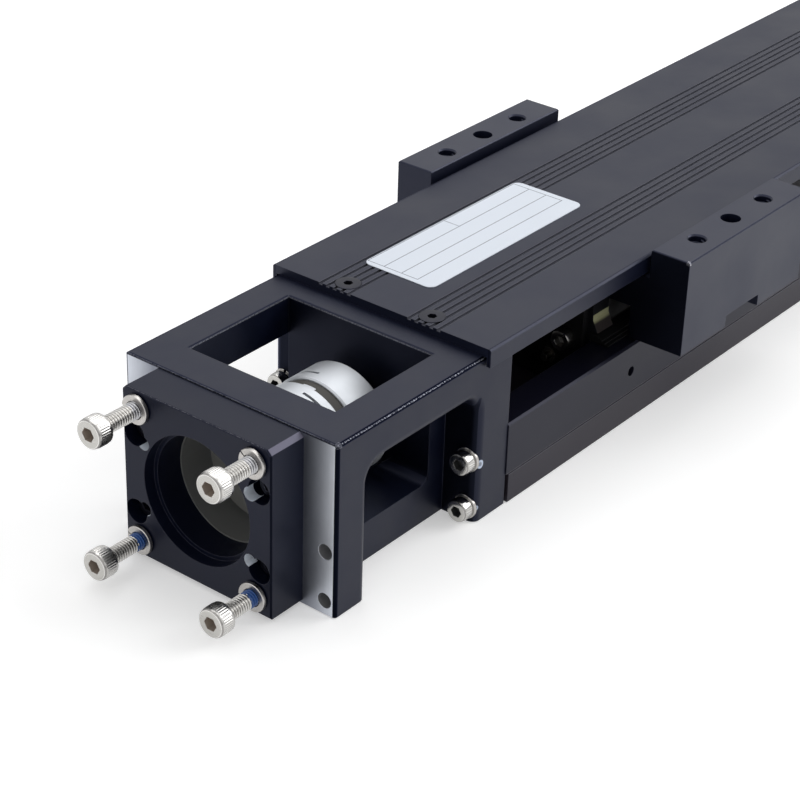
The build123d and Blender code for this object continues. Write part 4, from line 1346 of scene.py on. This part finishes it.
def cut_socket(shape: bmesh.types.BMesh, width: float, depth: float) -> None:
    """Closes an open head round a hexagonal socket with a drilled cone at its foot.

    Args:
        shape: Screw whose head is open at the top, and nowhere else.
        width: Socket's width across its flats, in millimetres.
        depth: Depth of the flats, in millimetres.
    """
    ring = sink(shape, [edge for edge in shape.edges if edge.is_boundary], 0.0)
    for vert in {vert for edge in ring for vert in edge.verts}:
        angle = math.atan2(vert.co.y, vert.co.x) % (math.pi / 3) - math.pi / 6
        vert.co.xy *= width / 2 / math.cos(angle) / vert.co.xy.length
    ring = sink(shape, ring, depth)
    ring = sink(shape, ring, width * 0.18)
    foot = list({vert for edge in ring for vert in edge.verts})
    bmesh.ops.pointmerge(shape, verts=foot, merge_co=(0, 0, foot[0].co.z))
    bmesh.ops.remove_doubles(shape, verts=shape.verts[:], dist=MERGED)


@dataclass(frozen=True)
class CapScrew:
    """Socket head cap screw with a knurled head and, where it shows, a cut thread."""

    radius: float = 1.5
    head_radius: float = 2.75
    head_height: float = 3.0
    length: float = 12.0
    socket_width: float = 2.5
    socket_share: float = 0.6
    pitch: float = 0.5
    knurl_teeth: int = 30
    knurl_depth: float = 0.09
    knurl_span: Tuple[float, float] = (0.16, 0.76)
    head_round: float = 0.13
    end_chamfer: float = 0.3
    threaded: bool = False
    thread_steps: int = 24

    def add_to(self, shape: bmesh.types.BMesh, place: Matrix) -> None:
        """Adds one screw to a shape.

        Args:
            shape: Shape that takes the screw.
            place: Its under-head plane, local Z towards the head.
        """
        screw = bmesh.new()
        self._turn_body(screw)
        cut_socket(screw, self.socket_width, self.head_height * self.socket_share)
        join(shape, screw, place)
        if self.threaded:
            self._cut_thread(shape, place)

    def _turn_body(self, screw: bmesh.types.BMesh) -> None:
        """Turns the shank and head and presses the knurl into the head's side.

        Args:
            screw: Empty shape that takes them.
        """
        tall = self.head_height
        wide = self.head_radius
        side = wide - self.knurl_depth
        round_off = tall * self.head_round
        core = self.radius - 0.62 * self.pitch - 0.02 if self.threaded else self.radius
        knurl_low, knurl_high = (tall * share for share in self.knurl_span)
        profile = [
            (0, -self.length),
            (core - self.end_chamfer, -self.length),
            (core, -self.length + self.end_chamfer),
            (core, 0),
            (wide - 0.2, 0),
            (side, 0.2),
            (side, knurl_low),
            (wide, knurl_low + 0.1),
            (wide, knurl_high),
            (side, knurl_high + 0.1),
            (side, tall - round_off),
            (side - round_off * 0.3, tall - round_off * 0.3),
            (side - round_off, tall),
        ]
        columns = self.knurl_teeth * 2
        made = lathe(screw, profile, columns)
        step = math.tau / columns
        for vert in made:
            if not knurl_low < vert.co.z < knurl_high + 0.05:
                continue
            if round(math.atan2(vert.co.y, vert.co.x) / step) % 2:
                reach = vert.co.xy.length
                vert.co.xy *= (reach - self.knurl_depth * 1.6) / reach

    def _cut_thread(self, shape: bmesh.types.BMesh, place: Matrix) -> None:
        """Winds the thread along the shank.

        Args:
            shape: Shape that takes the thread.
            place: The screw's under-head plane, local Z towards the head.
        """
        root = self.radius - 0.61 * self.pitch
        profile = [
            (root, 0),
            (root, 0.1 * self.pitch),
            (self.radius, 0.44 * self.pitch),
            (self.radius, 0.56 * self.pitch),
            (root, 0.9 * self.pitch),
            (root, self.pitch),
        ]
        foot = place @ Matrix.Translation((0, 0, -self.length + 0.2))
        helix(shape, profile, self.pitch, self.length - 0.2, self.thread_steps, foot)


@dataclass(frozen=True)
class SplitWasher:
    """Split spring washer, one of its ends sprung up."""

    bore_radius: float = 2.1
    outer_radius: float = 3.45
    thickness: float = 1.0
    edge: float = 0.12
    gap_angle: float = 16.0
    lift: float = 0.35
    steps: int = 48

    def add_to(self, shape: bmesh.types.BMesh, place: Matrix, turn: float) -> None:
        """Adds one washer to a shape.

        Args:
            shape: Shape that takes the washer.
            place: Its seat, local Z away from the seat.
            turn: Where its gap is, in degrees round the local Z.
        """
        washer = bmesh.new()
        edge, high = self.edge, self.thickness
        inner, outer = self.bore_radius, self.outer_radius
        section = [
            (inner, edge),
            (inner + edge, 0.0),
            (outer - edge, 0.0),
            (outer, edge),
            (outer, high - edge),
            (outer - edge, high),
            (inner + edge, high),
            (inner, high - edge),
        ]
        sweep(washer, section, math.radians(360 - self.gap_angle), self.steps, self.lift)
        bmesh.ops.recalc_face_normals(washer, faces=washer.faces[:])
        join(shape, washer, place @ Matrix.Rotation(math.radians(turn), 4, "Z"))


@dataclass(frozen=True)
class CountersunkScrew:
    """Countersunk screw with a slightly domed head and a hexagonal socket."""

    radius: float = 1.5
    head_radius: float = 3.0
    length: float = 8.0
    socket_width: float = 2.0
    proud: float = 0.12

    def add_to(self, shape: bmesh.types.BMesh, place: Matrix) -> None:
        """Adds one screw to a shape.

        Args:
            shape: Shape that takes the screw.
            place: The plane of its head's rim, local Z away from the screw.
        """
        screw = bmesh.new()
        wide = self.head_radius
        profile = [
            (0, -self.length),
            (self.radius, -self.length),
            (self.radius, self.radius - wide),
            (wide, 0),
            (wide, self.proud * 0.6),
            (wide - 0.15, self.proud),
            (wide * 0.62, self.proud),
        ]
        lathe(screw, profile, ROUND_STEPS)
        cut_socket(screw, self.socket_width, self.proud * 10)
        join(shape, screw, place)


WINDOW_WEAR = (
    Wear((-233.0, 20.5, 41.95), (16.4, 0.12, 0.17), 0.75),
    Wear((-216.75, 0.0, 41.95), (0.12, 20.5, 0.17), 0.55),
    Wear((-258.9, -29.3, 41.9), (0.8, 0.6, 0.6), 0.45, 0.4),
    Wear((-259.35, 0.0, 42.1), (0.17, 29.4, 0.14), 0.4, 0.6),
)
# Painted reflections of the pocket screws' heads in the rounded rear edges of the pockets.
POCKET_SCREW_REFLECTIONS = (
    ((-209.8, -29.7, 14.95), (0.95, 1.2, 1.1)),
    ((-210.2, -29.5, 3.65), (0.5, 0.8, 0.6)),
)


def mirrored(centre: Point, half: Point, strength: float) -> Tuple[Shade, Shade]:
    """Gives a shaded box on each side of the stage.

    Args:
        centre: Middle of the box on the left side.
        half: Its half size.
        strength: How dark it is.

    Returns:
        The box on the right and the box on the left.
    """
    along, across, up = centre
    return ((along, -across, up), half, strength), (centre, half, strength)


# Painted shade: boxes where the housing is painted black so it mirrors nothing: its rounded front
# edges, the strip above the plate, the window's edges, the chamber's rear wall and the pockets'
# rear walls.
HOUSING_SHADES = (
    *mirrored((-259.1, 29.4, 21.0), (0.45, 0.42, 20.9), 0.95),
    ((-259.2, 0.0, 42.2), (0.32, 29.6, 0.22), 0.9),
    ((-233.0, 20.85, 42.2), (16.3, 0.22, 0.08), 0.85),
    ((-216.4, 0.0, 42.2), (0.22, 20.6, 0.08), 0.85),
    ((-216.9, 0.0, 26.0), (0.25, 20.6, 15.6), 0.5),
    *mirrored((-211.1, 25.2, 16.0), (0.4, 4.6, 16.4), 0.75),
)
HOUSING_PAINT = PaintedCasting(
    "housing_paint",
    Slot.BLACK_ANODISED,
    raw_face=HOUSING_FRONT,
    wear=WINDOW_WEAR,
    painted_reflections=POCKET_SCREW_REFLECTIONS,
    dark=HOUSING_SHADES,
    bores=(HOUSING_BOLTS, 1.8),
    neck_radius=15.6,
)
REAR_PAINT = PaintedCasting("rear_paint", Slot.BLACK_ANODISED)
PLATE_ANODISE = Anodised(
    "plate_anodise",
    Slot.BLACK_ANODISED,
    ridge=(20.8, 41.9, 1.1),
    jack_holes=(JACK_HOLES, 1.65),
    wear=(Wear((-269.42, 0.0, 41.85), (0.16, 19.6, 0.12), 0.16, 0.1),),
    # Painted shade: the plate's vertical front edges are painted black.
    dark=mirrored((-269.4, 20.7, 20.4), (0.28, 0.28, 20.2), 0.8),
)
COVER_ANODISE = Anodised(
    "cover_anodise",
    Slot.BLACK_ANODISED,
    gloss=0.43,
    drawn=40.0,
    edge_highlight_share=0.7,
    edge_radius=0.12,
    grooves=Grooves(middle=12.7, pitch=2.05, reach=2.4, half=0.45, bottom=43.75),
    shade_line=(30.5, 0.11),
)
TABLE_ANODISE = Anodised(
    "table_anodise",
    Slot.BLACK_ANODISED,
    gloss=0.57,
    edge_highlight_share=0.05,
    # Painted shade: the arms' fronts, the right one darker, and the arms' top outer edges are
    # painted black.
    dark=(
        ((-149.6, -31.0, 34.0), (0.12, 12.0, 12.8), 0.75),
        ((-149.6, 31.0, 34.0), (0.12, 12.0, 12.8), 0.25),
        *mirrored((-122.3, 42.75, 46.45), (27.0, 0.2, 0.2), 0.7),
    ),
    wear=(Wear((-149.4, -42.5, 46.2), (0.5, 0.6, 0.5), 0.8, 0.2),),
)
RAIL_STEEL = RailSteel("rail_steel", Slot.BLACKENED_STEEL)
BLOCK_STEEL = BrightSteel(
    "block_steel", Slot.GROUND_STEEL, colour=(0.20, 0.20, 0.205), roughness=0.38
)
GROUND_STEEL = replace(
    BLOCK_STEEL, name="ground_steel", colour=(0.56, 0.55, 0.54), roughness=0.24
)
DULL_STEEL = replace(
    BLOCK_STEEL, name="dull_steel", colour=(0.035, 0.035, 0.038), roughness=0.42
)
WASHER_STEEL = BrightSteel(
    "washer_steel", Slot.STAINLESS_STEEL, colour=(0.56, 0.54, 0.52), roughness=0.30
)
CAP_SCREW_STEEL = replace(
    WASHER_STEEL, name="cap_screw_steel", colour=(0.30, 0.29, 0.28), roughness=0.27
)
MOTOR_SCREW_STEEL = ScrewSteel(
    "motor_screw_steel", Slot.STAINLESS_STEEL, left_lead=0.9, locker=(-272.4, -270.2)
)
END_SCREW_STEEL = ScrewSteel(
    "end_screw_steel",
    Slot.STAINLESS_STEEL,
    pattern=HOUSING_BOLTS,
    shank_radius=1.5,
    head_radius=2.75,
    socket_radius=1.46,
    front=219.5,
    seat=216.5,
    outward=1.0,
)
POCKET_SCREW_STEEL = replace(
    END_SCREW_STEEL,
    name="pocket_screw_steel",
    # Painted shade: the sockets in the pockets are painted near black.
    socket=(0.05, 0.05, 0.05),
    roughness=0.2,
    front=-214.2,
    seat=-211.2,
    outward=-1.0,
)
OXIDE_STEEL = Moulded(
    "oxide_steel",
    Slot.BLACK_OXIDE_STEEL,
    colour=(0.004, 0.004, 0.007),
    roughness=0.40,
    edge_highlight_lift=0.2,
    gloss=0.36,
    sheen_tint=(0.70, 0.73, 1.0),
)
TURNED_ALUMINIUM = TurnedMetal("turned_aluminium", Slot.SILVER_ALUMINIUM, metallic=0.78)
# Painted shade: the front hub's face inside the bore is painted a dull grey.
SHADED_FACE_ALUMINIUM = replace(TURNED_ALUMINIUM, name="shaded_face_aluminium", face=-251.0)
TURNED_STEEL = TurnedMetal(
    "turned_steel", Slot.GROUND_STEEL, colour=(0.58, 0.57, 0.56), roughness=0.26
)
DISC_POLYMER = Moulded("disc_polymer", Slot.GREY_POLYMER, colour=(0.060, 0.056, 0.050))
CREAM_NYLON = Moulded(
    "cream_nylon", Slot.CREAM_NYLON, colour=(0.43, 0.43, 0.25), roughness=0.45, variation=0.12
)
# Front end cap with painted shade under the cover.
SHADED_NYLON = replace(CREAM_NYLON, name="shaded_nylon", pale_band=(25.9, 27.5, -154.9))
BLACK_RUBBER = Moulded(
    "black_rubber",
    Slot.BLACK_RUBBER,
    colour=(0.004, 0.004, 0.005),
    roughness=0.62,
    edge_highlight_lift=0.1,
    gloss=0.15,
)
BLACK_PLASTIC = Moulded(
    "black_plastic", Slot.BLACK_PLASTIC, colour=(0.012, 0.012, 0.014), roughness=0.45
)
LABEL_FILM = LabelFilm("label_film", Slot.WHITE_FILM)
NICKEL_BRASS = BrightSteel(
    "nickel_brass", Slot.NICKEL_BRASS, colour=(0.20, 0.185, 0.16), roughness=0.34
)
M3_SCREW = CapScrew()
M4_SCREW = CapScrew(
    radius=2.0, head_radius=3.5, head_height=4.0, socket_width=3.0, knurl_teeth=42
)


@dataclass
class MotorEnd:
    """Motor plate with its drawn out screws, split washers and recessed fixings."""

    standoffs: Tuple[float, ...] = (9.6, 9.6, 10.5, 10.5)
    washer_turns: Tuple[float, ...] = (200.0, 150.0, 170.0, 190.0)
    fixing_head_depth: float = 6.0
    motor_screw: CapScrew = replace(M4_SCREW, length=16.0, pitch=0.7, threaded=True)
    fixing_screw: CapScrew = M3_SCREW

    def build(self, bench: Bench) -> None:
        """Builds and dresses the motor end.

        Args:
            bench: Bench that the pieces are finished on.
        """
        bench.dress(PLATE_ANODISE, "motor_plate")
        screws, washers, fixings = bmesh.new(), bmesh.new(), bmesh.new()
        for spot, standoff, turn in zip(MOTOR_BOLTS.spots(), self.standoffs, self.washer_turns):
            self.motor_screw.add_to(screws, place_at(Facing.FRONT, (PLATE_FRONT - standoff, *spot)))
            SplitWasher().add_to(washers, place_at(Facing.FRONT, (PLATE_FRONT, *spot)), turn)
        bench.fit("knurled_motor_screws", screws, Body.BASE, MOTOR_SCREW_STEEL, ["motor_screws"])
        bench.fit("split_motor_washers", washers, Body.BASE, WASHER_STEEL, ["motor_spring_washers"])
        for spot in PLATE_FIXINGS.spots():
            seat = (PLATE_FRONT + self.fixing_head_depth, *spot)
            self.fixing_screw.add_to(fixings, place_at(Facing.FRONT, seat))
        bench.fit(
            "recessed_plate_screws", fixings, Body.BASE, OXIDE_STEEL, ["plate_fixing_screws"]
        )


@dataclass
class FrontHousing:
    """Front housing with the screws in its pockets, its bearings and their retainer."""

    screw_seat: float = -211.2
    washer_seat: float = -210.4
    screw: CapScrew = replace(M3_SCREW, length=18.0)
    washer: SplitWasher = SplitWasher(
        bore_radius=1.6, outer_radius=3.0, thickness=0.8, lift=0.0
    )

    def build(self, bench: Bench) -> None:
        """Builds and dresses the front housing.

        Args:
            bench: Bench that the pieces are finished on.
        """
        bench.dress(HOUSING_PAINT, "front_housing")
        bench.dress(GROUND_STEEL, "bearing_outer_rings")
        bench.dress(DULL_STEEL, "bearing_retainer")
        bench.dress(OXIDE_STEEL, "retainer_screws")
        screws, washers = bmesh.new(), bmesh.new()
        for across, up in HOUSING_BOLTS.spots():
            self.screw.add_to(screws, place_at(Facing.FRONT, (self.screw_seat, across, up)))
            seat = place_at(Facing.FRONT, (self.washer_seat, across, up))
            self.washer.add_to(washers, seat, math.copysign(90, across))
        bench.fit("pocket_screws", screws, Body.BASE, POCKET_SCREW_STEEL, ["front_housing_screws"])
        bench.fit("pocket_washers", washers, Body.BASE, WASHER_STEEL, ["front_housing_washers"])


@dataclass
class Driveline:
    """Coupling, lock nut, bearings and the ball screw with its rolled groove."""

    thread_start: float = -197.0
    thread_end: float = 196.0
    radius: float = 7.5
    lead: float = 10.0
    groove_radius: float = 1.75
    groove_depth: float = 1.05
    groove_facets: int = 8
    steps: int = 36
    journals: Tuple[Tuple[float, float, float], ...] = (
        (-232.0, -218.5, 4.0),
        (-218.5, -200.5, 5.0),
        (-200.5, -197.0, 6.5),
        (196.0, 203.5, 6.0),
        (203.5, 209.5, 4.0),
        (209.5, 210.4, 3.6),
        (210.4, 211.5, 4.0),
    )

    def build(self, bench: Bench) -> None:
        """Builds and dresses the driveline.

        Args:
            bench: Bench that the pieces are finished on.
        """
        bench.dress(SHADED_FACE_ALUMINIUM, "coupling_front_hub")
        bench.dress(TURNED_ALUMINIUM, "coupling_rear_hub")
        bench.dress(DISC_POLYMER, "coupling_centre_disc")
        bench.dress(OXIDE_STEEL, "coupling_clamp_screws", "lock_nut", "rear_circlip")
        bench.dress(TURNED_STEEL, "bearing_collar", "bearing_inner_rings")
        bench.dress(TURNED_STEEL, "rear_bearing_inner_ring")
        bench.dress(GROUND_STEEL, "bearing_balls", "rear_bearing_balls")
        shaft = bmesh.new()
        for start, end, radius in self.journals:
            long_way = end - start
            edge = min(0.3, long_way / 4)
            profile = [(0, 0), (radius - edge, 0), (radius, edge)]
            profile += [(radius, long_way - edge), (radius - edge, long_way), (0, long_way)]
            lathe(shaft, profile, ROUND_STEPS, place_at(Facing.REAR, (start, 0, SCREW_LINE)))
        place = place_at(Facing.REAR, (self.thread_start, 0, SCREW_LINE))
        thread = self.thread_end - self.thread_start
        helix(shaft, self._groove(), self.lead, thread, self.steps, place)
        bench.fit("rolled_ball_screw", shaft, Body.SCREW, TURNED_STEEL, ["ball_screw"])

    def _groove(self) -> Profile:
        """Gives the section of one lead: a land, and the arc that the balls run in.

        Returns:
            Points as (radius, height).
        """
        centre = self.radius - self.groove_depth + self.groove_radius
        half = math.acos((centre - self.radius) / self.groove_radius)
        middle = self.lead / 2
        points = [(self.radius, 0.0)]
        for index in range(self.groove_facets + 1):
            angle = -half + 2 * half * index / self.groove_facets
            reach = centre - self.groove_radius * math.cos(angle)
            points.append((reach, middle + self.groove_radius * math.sin(angle)))
        points.append((self.radius, self.lead))
        return points


@dataclass
class Cover:
    """Grooved cover with its countersunk screws and its blank label."""

    top: float = 44.3
    screw_x: float = 206.2
    screw_across: float = 12.0
    screw: CountersunkScrew = CountersunkScrew()

    def build(self, bench: Bench) -> None:
        """Builds and dresses the cover.

        Args:
            bench: Bench that the pieces are finished on.
        """
        bench.dress(COVER_ANODISE, "cover")
        bench.dress(LABEL_FILM, "blank_label")
        for end, name in zip(SIDES, ("cover_screws_front", "cover_screws_rear")):
            screws = bmesh.new()
            for side in SIDES:
                spot = (end * self.screw_x, side * self.screw_across, self.top)
                self.screw.add_to(screws, place_at(Facing.UP, spot))
            bench.fit(f"socket_{name}", screws, Body.BASE, OXIDE_STEEL, [name])


@dataclass
class Rail:
    """Ground rail with the bumpers at the ends of its travel."""

    def build(self, bench: Bench) -> None:
        """Dresses the rail and its bumpers."""
        bench.dress(RAIL_STEEL, "rail")
        bench.dress(BLACK_RUBBER, "front_bumper", "rear_bumper")


@dataclass
class RearHousing:
    """Rear housing with its screws, its floating bearing and its plug."""

    seat: float = 216.5
    screw: CapScrew = replace(M3_SCREW, length=22.0)

    def build(self, bench: Bench) -> None:
        """Builds and dresses the rear housing.

        Args:
            bench: Bench that the pieces are finished on.
        """
        bench.dress(REAR_PAINT, "rear_housing")
        bench.dress(GROUND_STEEL, "rear_bearing_outer_ring")
        bench.dress(BLACK_PLASTIC, "rear_bore_plug")
        screws = bmesh.new()
        for spot in HOUSING_BOLTS.spots():
            self.screw.add_to(screws, place_at(Facing.REAR, (self.seat, *spot)))
        bench.fit("rear_end_screws", screws, Body.BASE, END_SCREW_STEEL, ["rear_housing_screws"])


@dataclass
class Carriage:
    """Nut block with its caps, seals, balls, and the table with its tapped arms."""

    centre: float = -122.3
    slider_half: float = 34.5
    cap_screw_across: float = 15.3
    cap_screw_height: float = 20.4
    cap_screw: CapScrew = replace(M3_SCREW, length=14.0)
    web_seat: float = 34.8
    table_screw_spots: Tuple[float, float] = (18.0, 11.0)
    table_screw: CapScrew = replace(M4_SCREW, length=10.0)
    arm_top: float = 46.5
    arm_hole_spots: Tuple[float, float] = (15.0, 37.0)
    tap_radius: float = 2.1
    tap_pitch: float = 0.8
    tap_depth: float = 10.0
    tap_lead_in: float = 0.9
    tap_steps: int = 24

    def build(self, bench: Bench) -> None:
        """Builds and dresses the carriage.

        Args:
            bench: Bench that the pieces are finished on.
        """
        bench.dress(BLOCK_STEEL, "nut_block")
        bench.dress(SHADED_NYLON, "front_end_cap")
        bench.dress(CREAM_NYLON, "rear_end_cap")
        bench.dress(BLACK_RUBBER, "front_seal_plate", "rear_seal_plate")
        bench.dress(BLACK_RUBBER, "left_side_seal", "right_side_seal")
        bench.dress(TABLE_ANODISE, "carriage_table")
        bench.dress(GROUND_STEEL, "left_race_balls", "right_race_balls")
        bench.dress(NICKEL_BRASS, "grease_nipple")
        self._add_screws(bench)
        self._add_threads(bench)

    def _spots(self, reach: Tuple[float, float], height: float) -> List[Point]:
        """Gives four places round the table's middle.

        Args:
            reach: How far they are from it along and across the travel.
            height: How high they are.

        Returns:
            The places.
        """
        along, across = reach
        return [
            (self.centre + end * along, side * across, height) for end in SIDES for side in SIDES
        ]

    def _add_screws(self, bench: Bench) -> None:
        """Adds the cap and table screws.

        Args:
            bench: Bench that the pieces are finished on.
        """
        caps = ((Facing.FRONT, "front_cap_screws"), (Facing.REAR, "rear_cap_screws"))
        spots = self._spots((self.slider_half, self.cap_screw_across), self.cap_screw_height)
        for (facing, name), ends in zip(caps, (spots[:2], spots[2:])):
            screws = bmesh.new()
            for spot in ends:
                self.cap_screw.add_to(screws, place_at(facing, spot))
            bench.fit(f"knurled_{name}", screws, Body.CARRIAGE, CAP_SCREW_STEEL, [name])
        screws = bmesh.new()
        for spot in self._spots(self.table_screw_spots, self.web_seat):
            self.table_screw.add_to(screws, place_at(Facing.UP, spot))
        bench.fit("knurled_table_screws", screws, Body.CARRIAGE, OXIDE_STEEL, ["table_screws"])

    def _add_threads(self, bench: Bench) -> None:
        """Adds the threads inside the arms' tapped holes.

        Args:
            bench: Bench that the piece is finished on.
        """
        threads = bmesh.new()
        wall, crest = self.tap_radius - 0.01, self.tap_radius - 0.28
        foot, turns = 0.42 * self.tap_pitch, int(self.tap_depth / self.tap_pitch)
        section = [(wall, -foot), (crest, -0.1), (crest, 0.1), (wall, foot)]
        low = self.arm_top - self.tap_depth - self.tap_lead_in
        for spot in self._spots(self.arm_hole_spots, low):
            coil = bmesh.new()
            rise, steps = self.tap_pitch * turns, self.tap_steps * turns
            sweep(coil, section, math.tau * turns, steps, rise)
            join(threads, coil, place_at(Facing.UP, spot))
        bench.fit("arm_threads", threads, Body.CARRIAGE, TABLE_ANODISE)


@dataclass
class Studio:
    """Pale floor, soft lamps, white surround and the camera."""

    eye: Point = (-0.556856, -0.274515, 0.275591)
    right: Point = (0.62389, -0.78097, 0.02892)
    down: Point = (-0.37506, -0.33168, -0.86563)
    forward: Point = (0.68563, 0.52921, -0.49984)
    lens: float = 101.37
    sensor: float = 36.0
    floor_size: float = 12.0
    floor_colour: Colour = (0.82, 0.82, 0.82)
    floor_lift: float = 0.38
    surround: float = 0.55
    horizon: float = 0.45
    horizon_top: float = 0.3
    clip: Tuple[float, float] = (0.01, 50.0)
    floor_drop: float = 0.0002
    aim: Point = (-0.12, 0.0, 0.02)
    lamps: Tuple[Tuple[str, Point, float, float], ...] = (
        ("key", (1.05, -1.0, 1.05), 1.1, 12.0),
        ("top", (0.45, 0.35, 1.6), 1.4, 9.0),
        ("front_fill", (-1.5, 0.2, 0.9), 1.2, 2.0),
    )

    def build(self) -> None:
        """Builds the studio."""
        self._build_camera()
        self._build_floor()
        self._build_surround()
        for name, spot, size, power in self.lamps:
            self._build_lamp(name, spot, size, power)
        bpy.context.scene.view_settings.view_transform = "Standard"

    def _build_camera(self) -> None:
        """Puts the camera where the stage is seen from."""
        data = bpy.data.cameras.new("camera")
        data.lens = self.lens
        data.sensor_width = self.sensor
        data.clip_start, data.clip_end = self.clip
        camera = bpy.data.objects.new("camera", data)
        bpy.context.scene.collection.objects.link(camera)
        axes = Matrix((Vector(self.right), -Vector(self.down), -Vector(self.forward))).transposed()
        camera.matrix_world = Matrix.Translation(self.eye) @ axes.to_4x4()
        bpy.context.scene.camera = camera

    def _build_floor(self) -> None:
        """Lays the pale floor, which keeps the stage's shadow."""
        shape = bmesh.new()
        bmesh.ops.create_grid(shape, x_segments=4, y_segments=4, size=self.floor_size / 2)
        bmesh.ops.translate(shape, vec=(0, 0, -self.floor_drop), verts=shape.verts[:])
        mesh = bpy.data.meshes.new("floor")
        shape.to_mesh(mesh)
        shape.free()
        floor = bpy.data.objects.new("floor", mesh)
        bpy.context.scene.collection.objects.link(floor)
        material = bpy.data.materials.new("pale_floor")
        material.use_nodes = True
        nodes = material.node_tree.nodes
        links = material.node_tree.links
        nodes.clear()
        output = nodes.new("ShaderNodeOutputMaterial")
        total = nodes.new("ShaderNodeAddShader")
        matt = nodes.new("ShaderNodeBsdfDiffuse")
        matt.inputs["Color"].default_value = (*self.floor_colour, 1)
        glow = nodes.new("ShaderNodeEmission")
        lift = nodes.new("ShaderNodeMath")
        lift.operation = "MULTIPLY"
        lift.inputs[1].default_value = self.floor_lift
        links.new(self._seen(material.node_tree), lift.inputs[0])
        links.new(lift.outputs[0], glow.inputs["Strength"])
        links.new(matt.outputs[0], total.inputs[0])
        links.new(glow.outputs[0], total.inputs[1])
        links.new(total.outputs[0], output.inputs[0])
        mesh.materials.append(material)

    def _seen(self, tree: bpy.types.NodeTree) -> Socket:
        """Gives one for rays that show the surround: from the camera, mirrored or refracted.

        Args:
            tree: Node tree that takes the nodes.

        Returns:
            The mask.
        """
        path = tree.nodes.new("ShaderNodeLightPath")
        share = path.outputs["Is Camera Ray"]
        for name in ("Is Glossy Ray", "Is Transmission Ray"):
            either = tree.nodes.new("ShaderNodeMath")
            either.operation = "MAXIMUM"
            tree.links.new(share, either.inputs[0])
            tree.links.new(path.outputs[name], either.inputs[1])
            share = either.outputs[0]
        return share

    def _build_surround(self) -> None:
        """Sets the world: white where it is seen, plain soft light elsewhere."""
        world = bpy.data.worlds.new("surround")
        world.use_nodes = True
        tree = world.node_tree
        light = tree.nodes["Background"]
        light.inputs["Color"].default_value = (1, 1, 1, 1)
        heading = tree.nodes.new("ShaderNodeTexCoord")
        parts = tree.nodes.new("ShaderNodeSeparateXYZ")
        tree.links.new(heading.outputs["Generated"], parts.inputs[0])
        sweep = tree.nodes.new("ShaderNodeMapRange")
        tree.links.new(parts.outputs["Z"], sweep.inputs["Value"])
        sweep.inputs["From Max"].default_value = self.horizon_top
        sweep.inputs["To Min"].default_value = self.horizon
        level = tree.nodes.new("ShaderNodeMix")
        level.data_type = "FLOAT"
        tree.links.new(self._seen(tree), level.inputs[0])
        level.inputs[2].default_value = self.surround
        tree.links.new(sweep.outputs[0], level.inputs[3])
        tree.links.new(level.outputs[0], light.inputs["Strength"])
        bpy.context.scene.world = world

    def _build_lamp(self, name: str, spot: Point, size: float, power: float) -> None:
        """Hangs one soft square lamp that looks at the stage.

        Args:
            name: Name of the lamp.
            spot: Where it hangs, in metres.
            size: Its width in metres.
            power: Its power in watts.
        """
        data = bpy.data.lights.new(name, "AREA")
        data.shape = "SQUARE"
        data.size = size
        data.energy = power
        lamp = bpy.data.objects.new(name, data)
        bpy.context.scene.collection.objects.link(lamp)
        lamp.location = spot
        aim = Vector(self.aim) - Vector(spot)
        lamp.rotation_mode = "QUATERNION"
        lamp.rotation_quaternion = aim.to_track_quat("-Z", "Y")


def main() -> None:
    """Builds the stage's sub-assemblies in order, and the studio round them."""
    logging.basicConfig(level=logging.INFO, format="%(message)s")
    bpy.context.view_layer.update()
    bench = Bench(frame["nodes"])
    for kind in (Rail, FrontHousing, MotorEnd, Driveline, Cover, RearHousing, Carriage):
        log.info("building %s", kind.__name__)
        kind().build(bench)
    Studio().build()


if __name__ == "__main__":
    main()
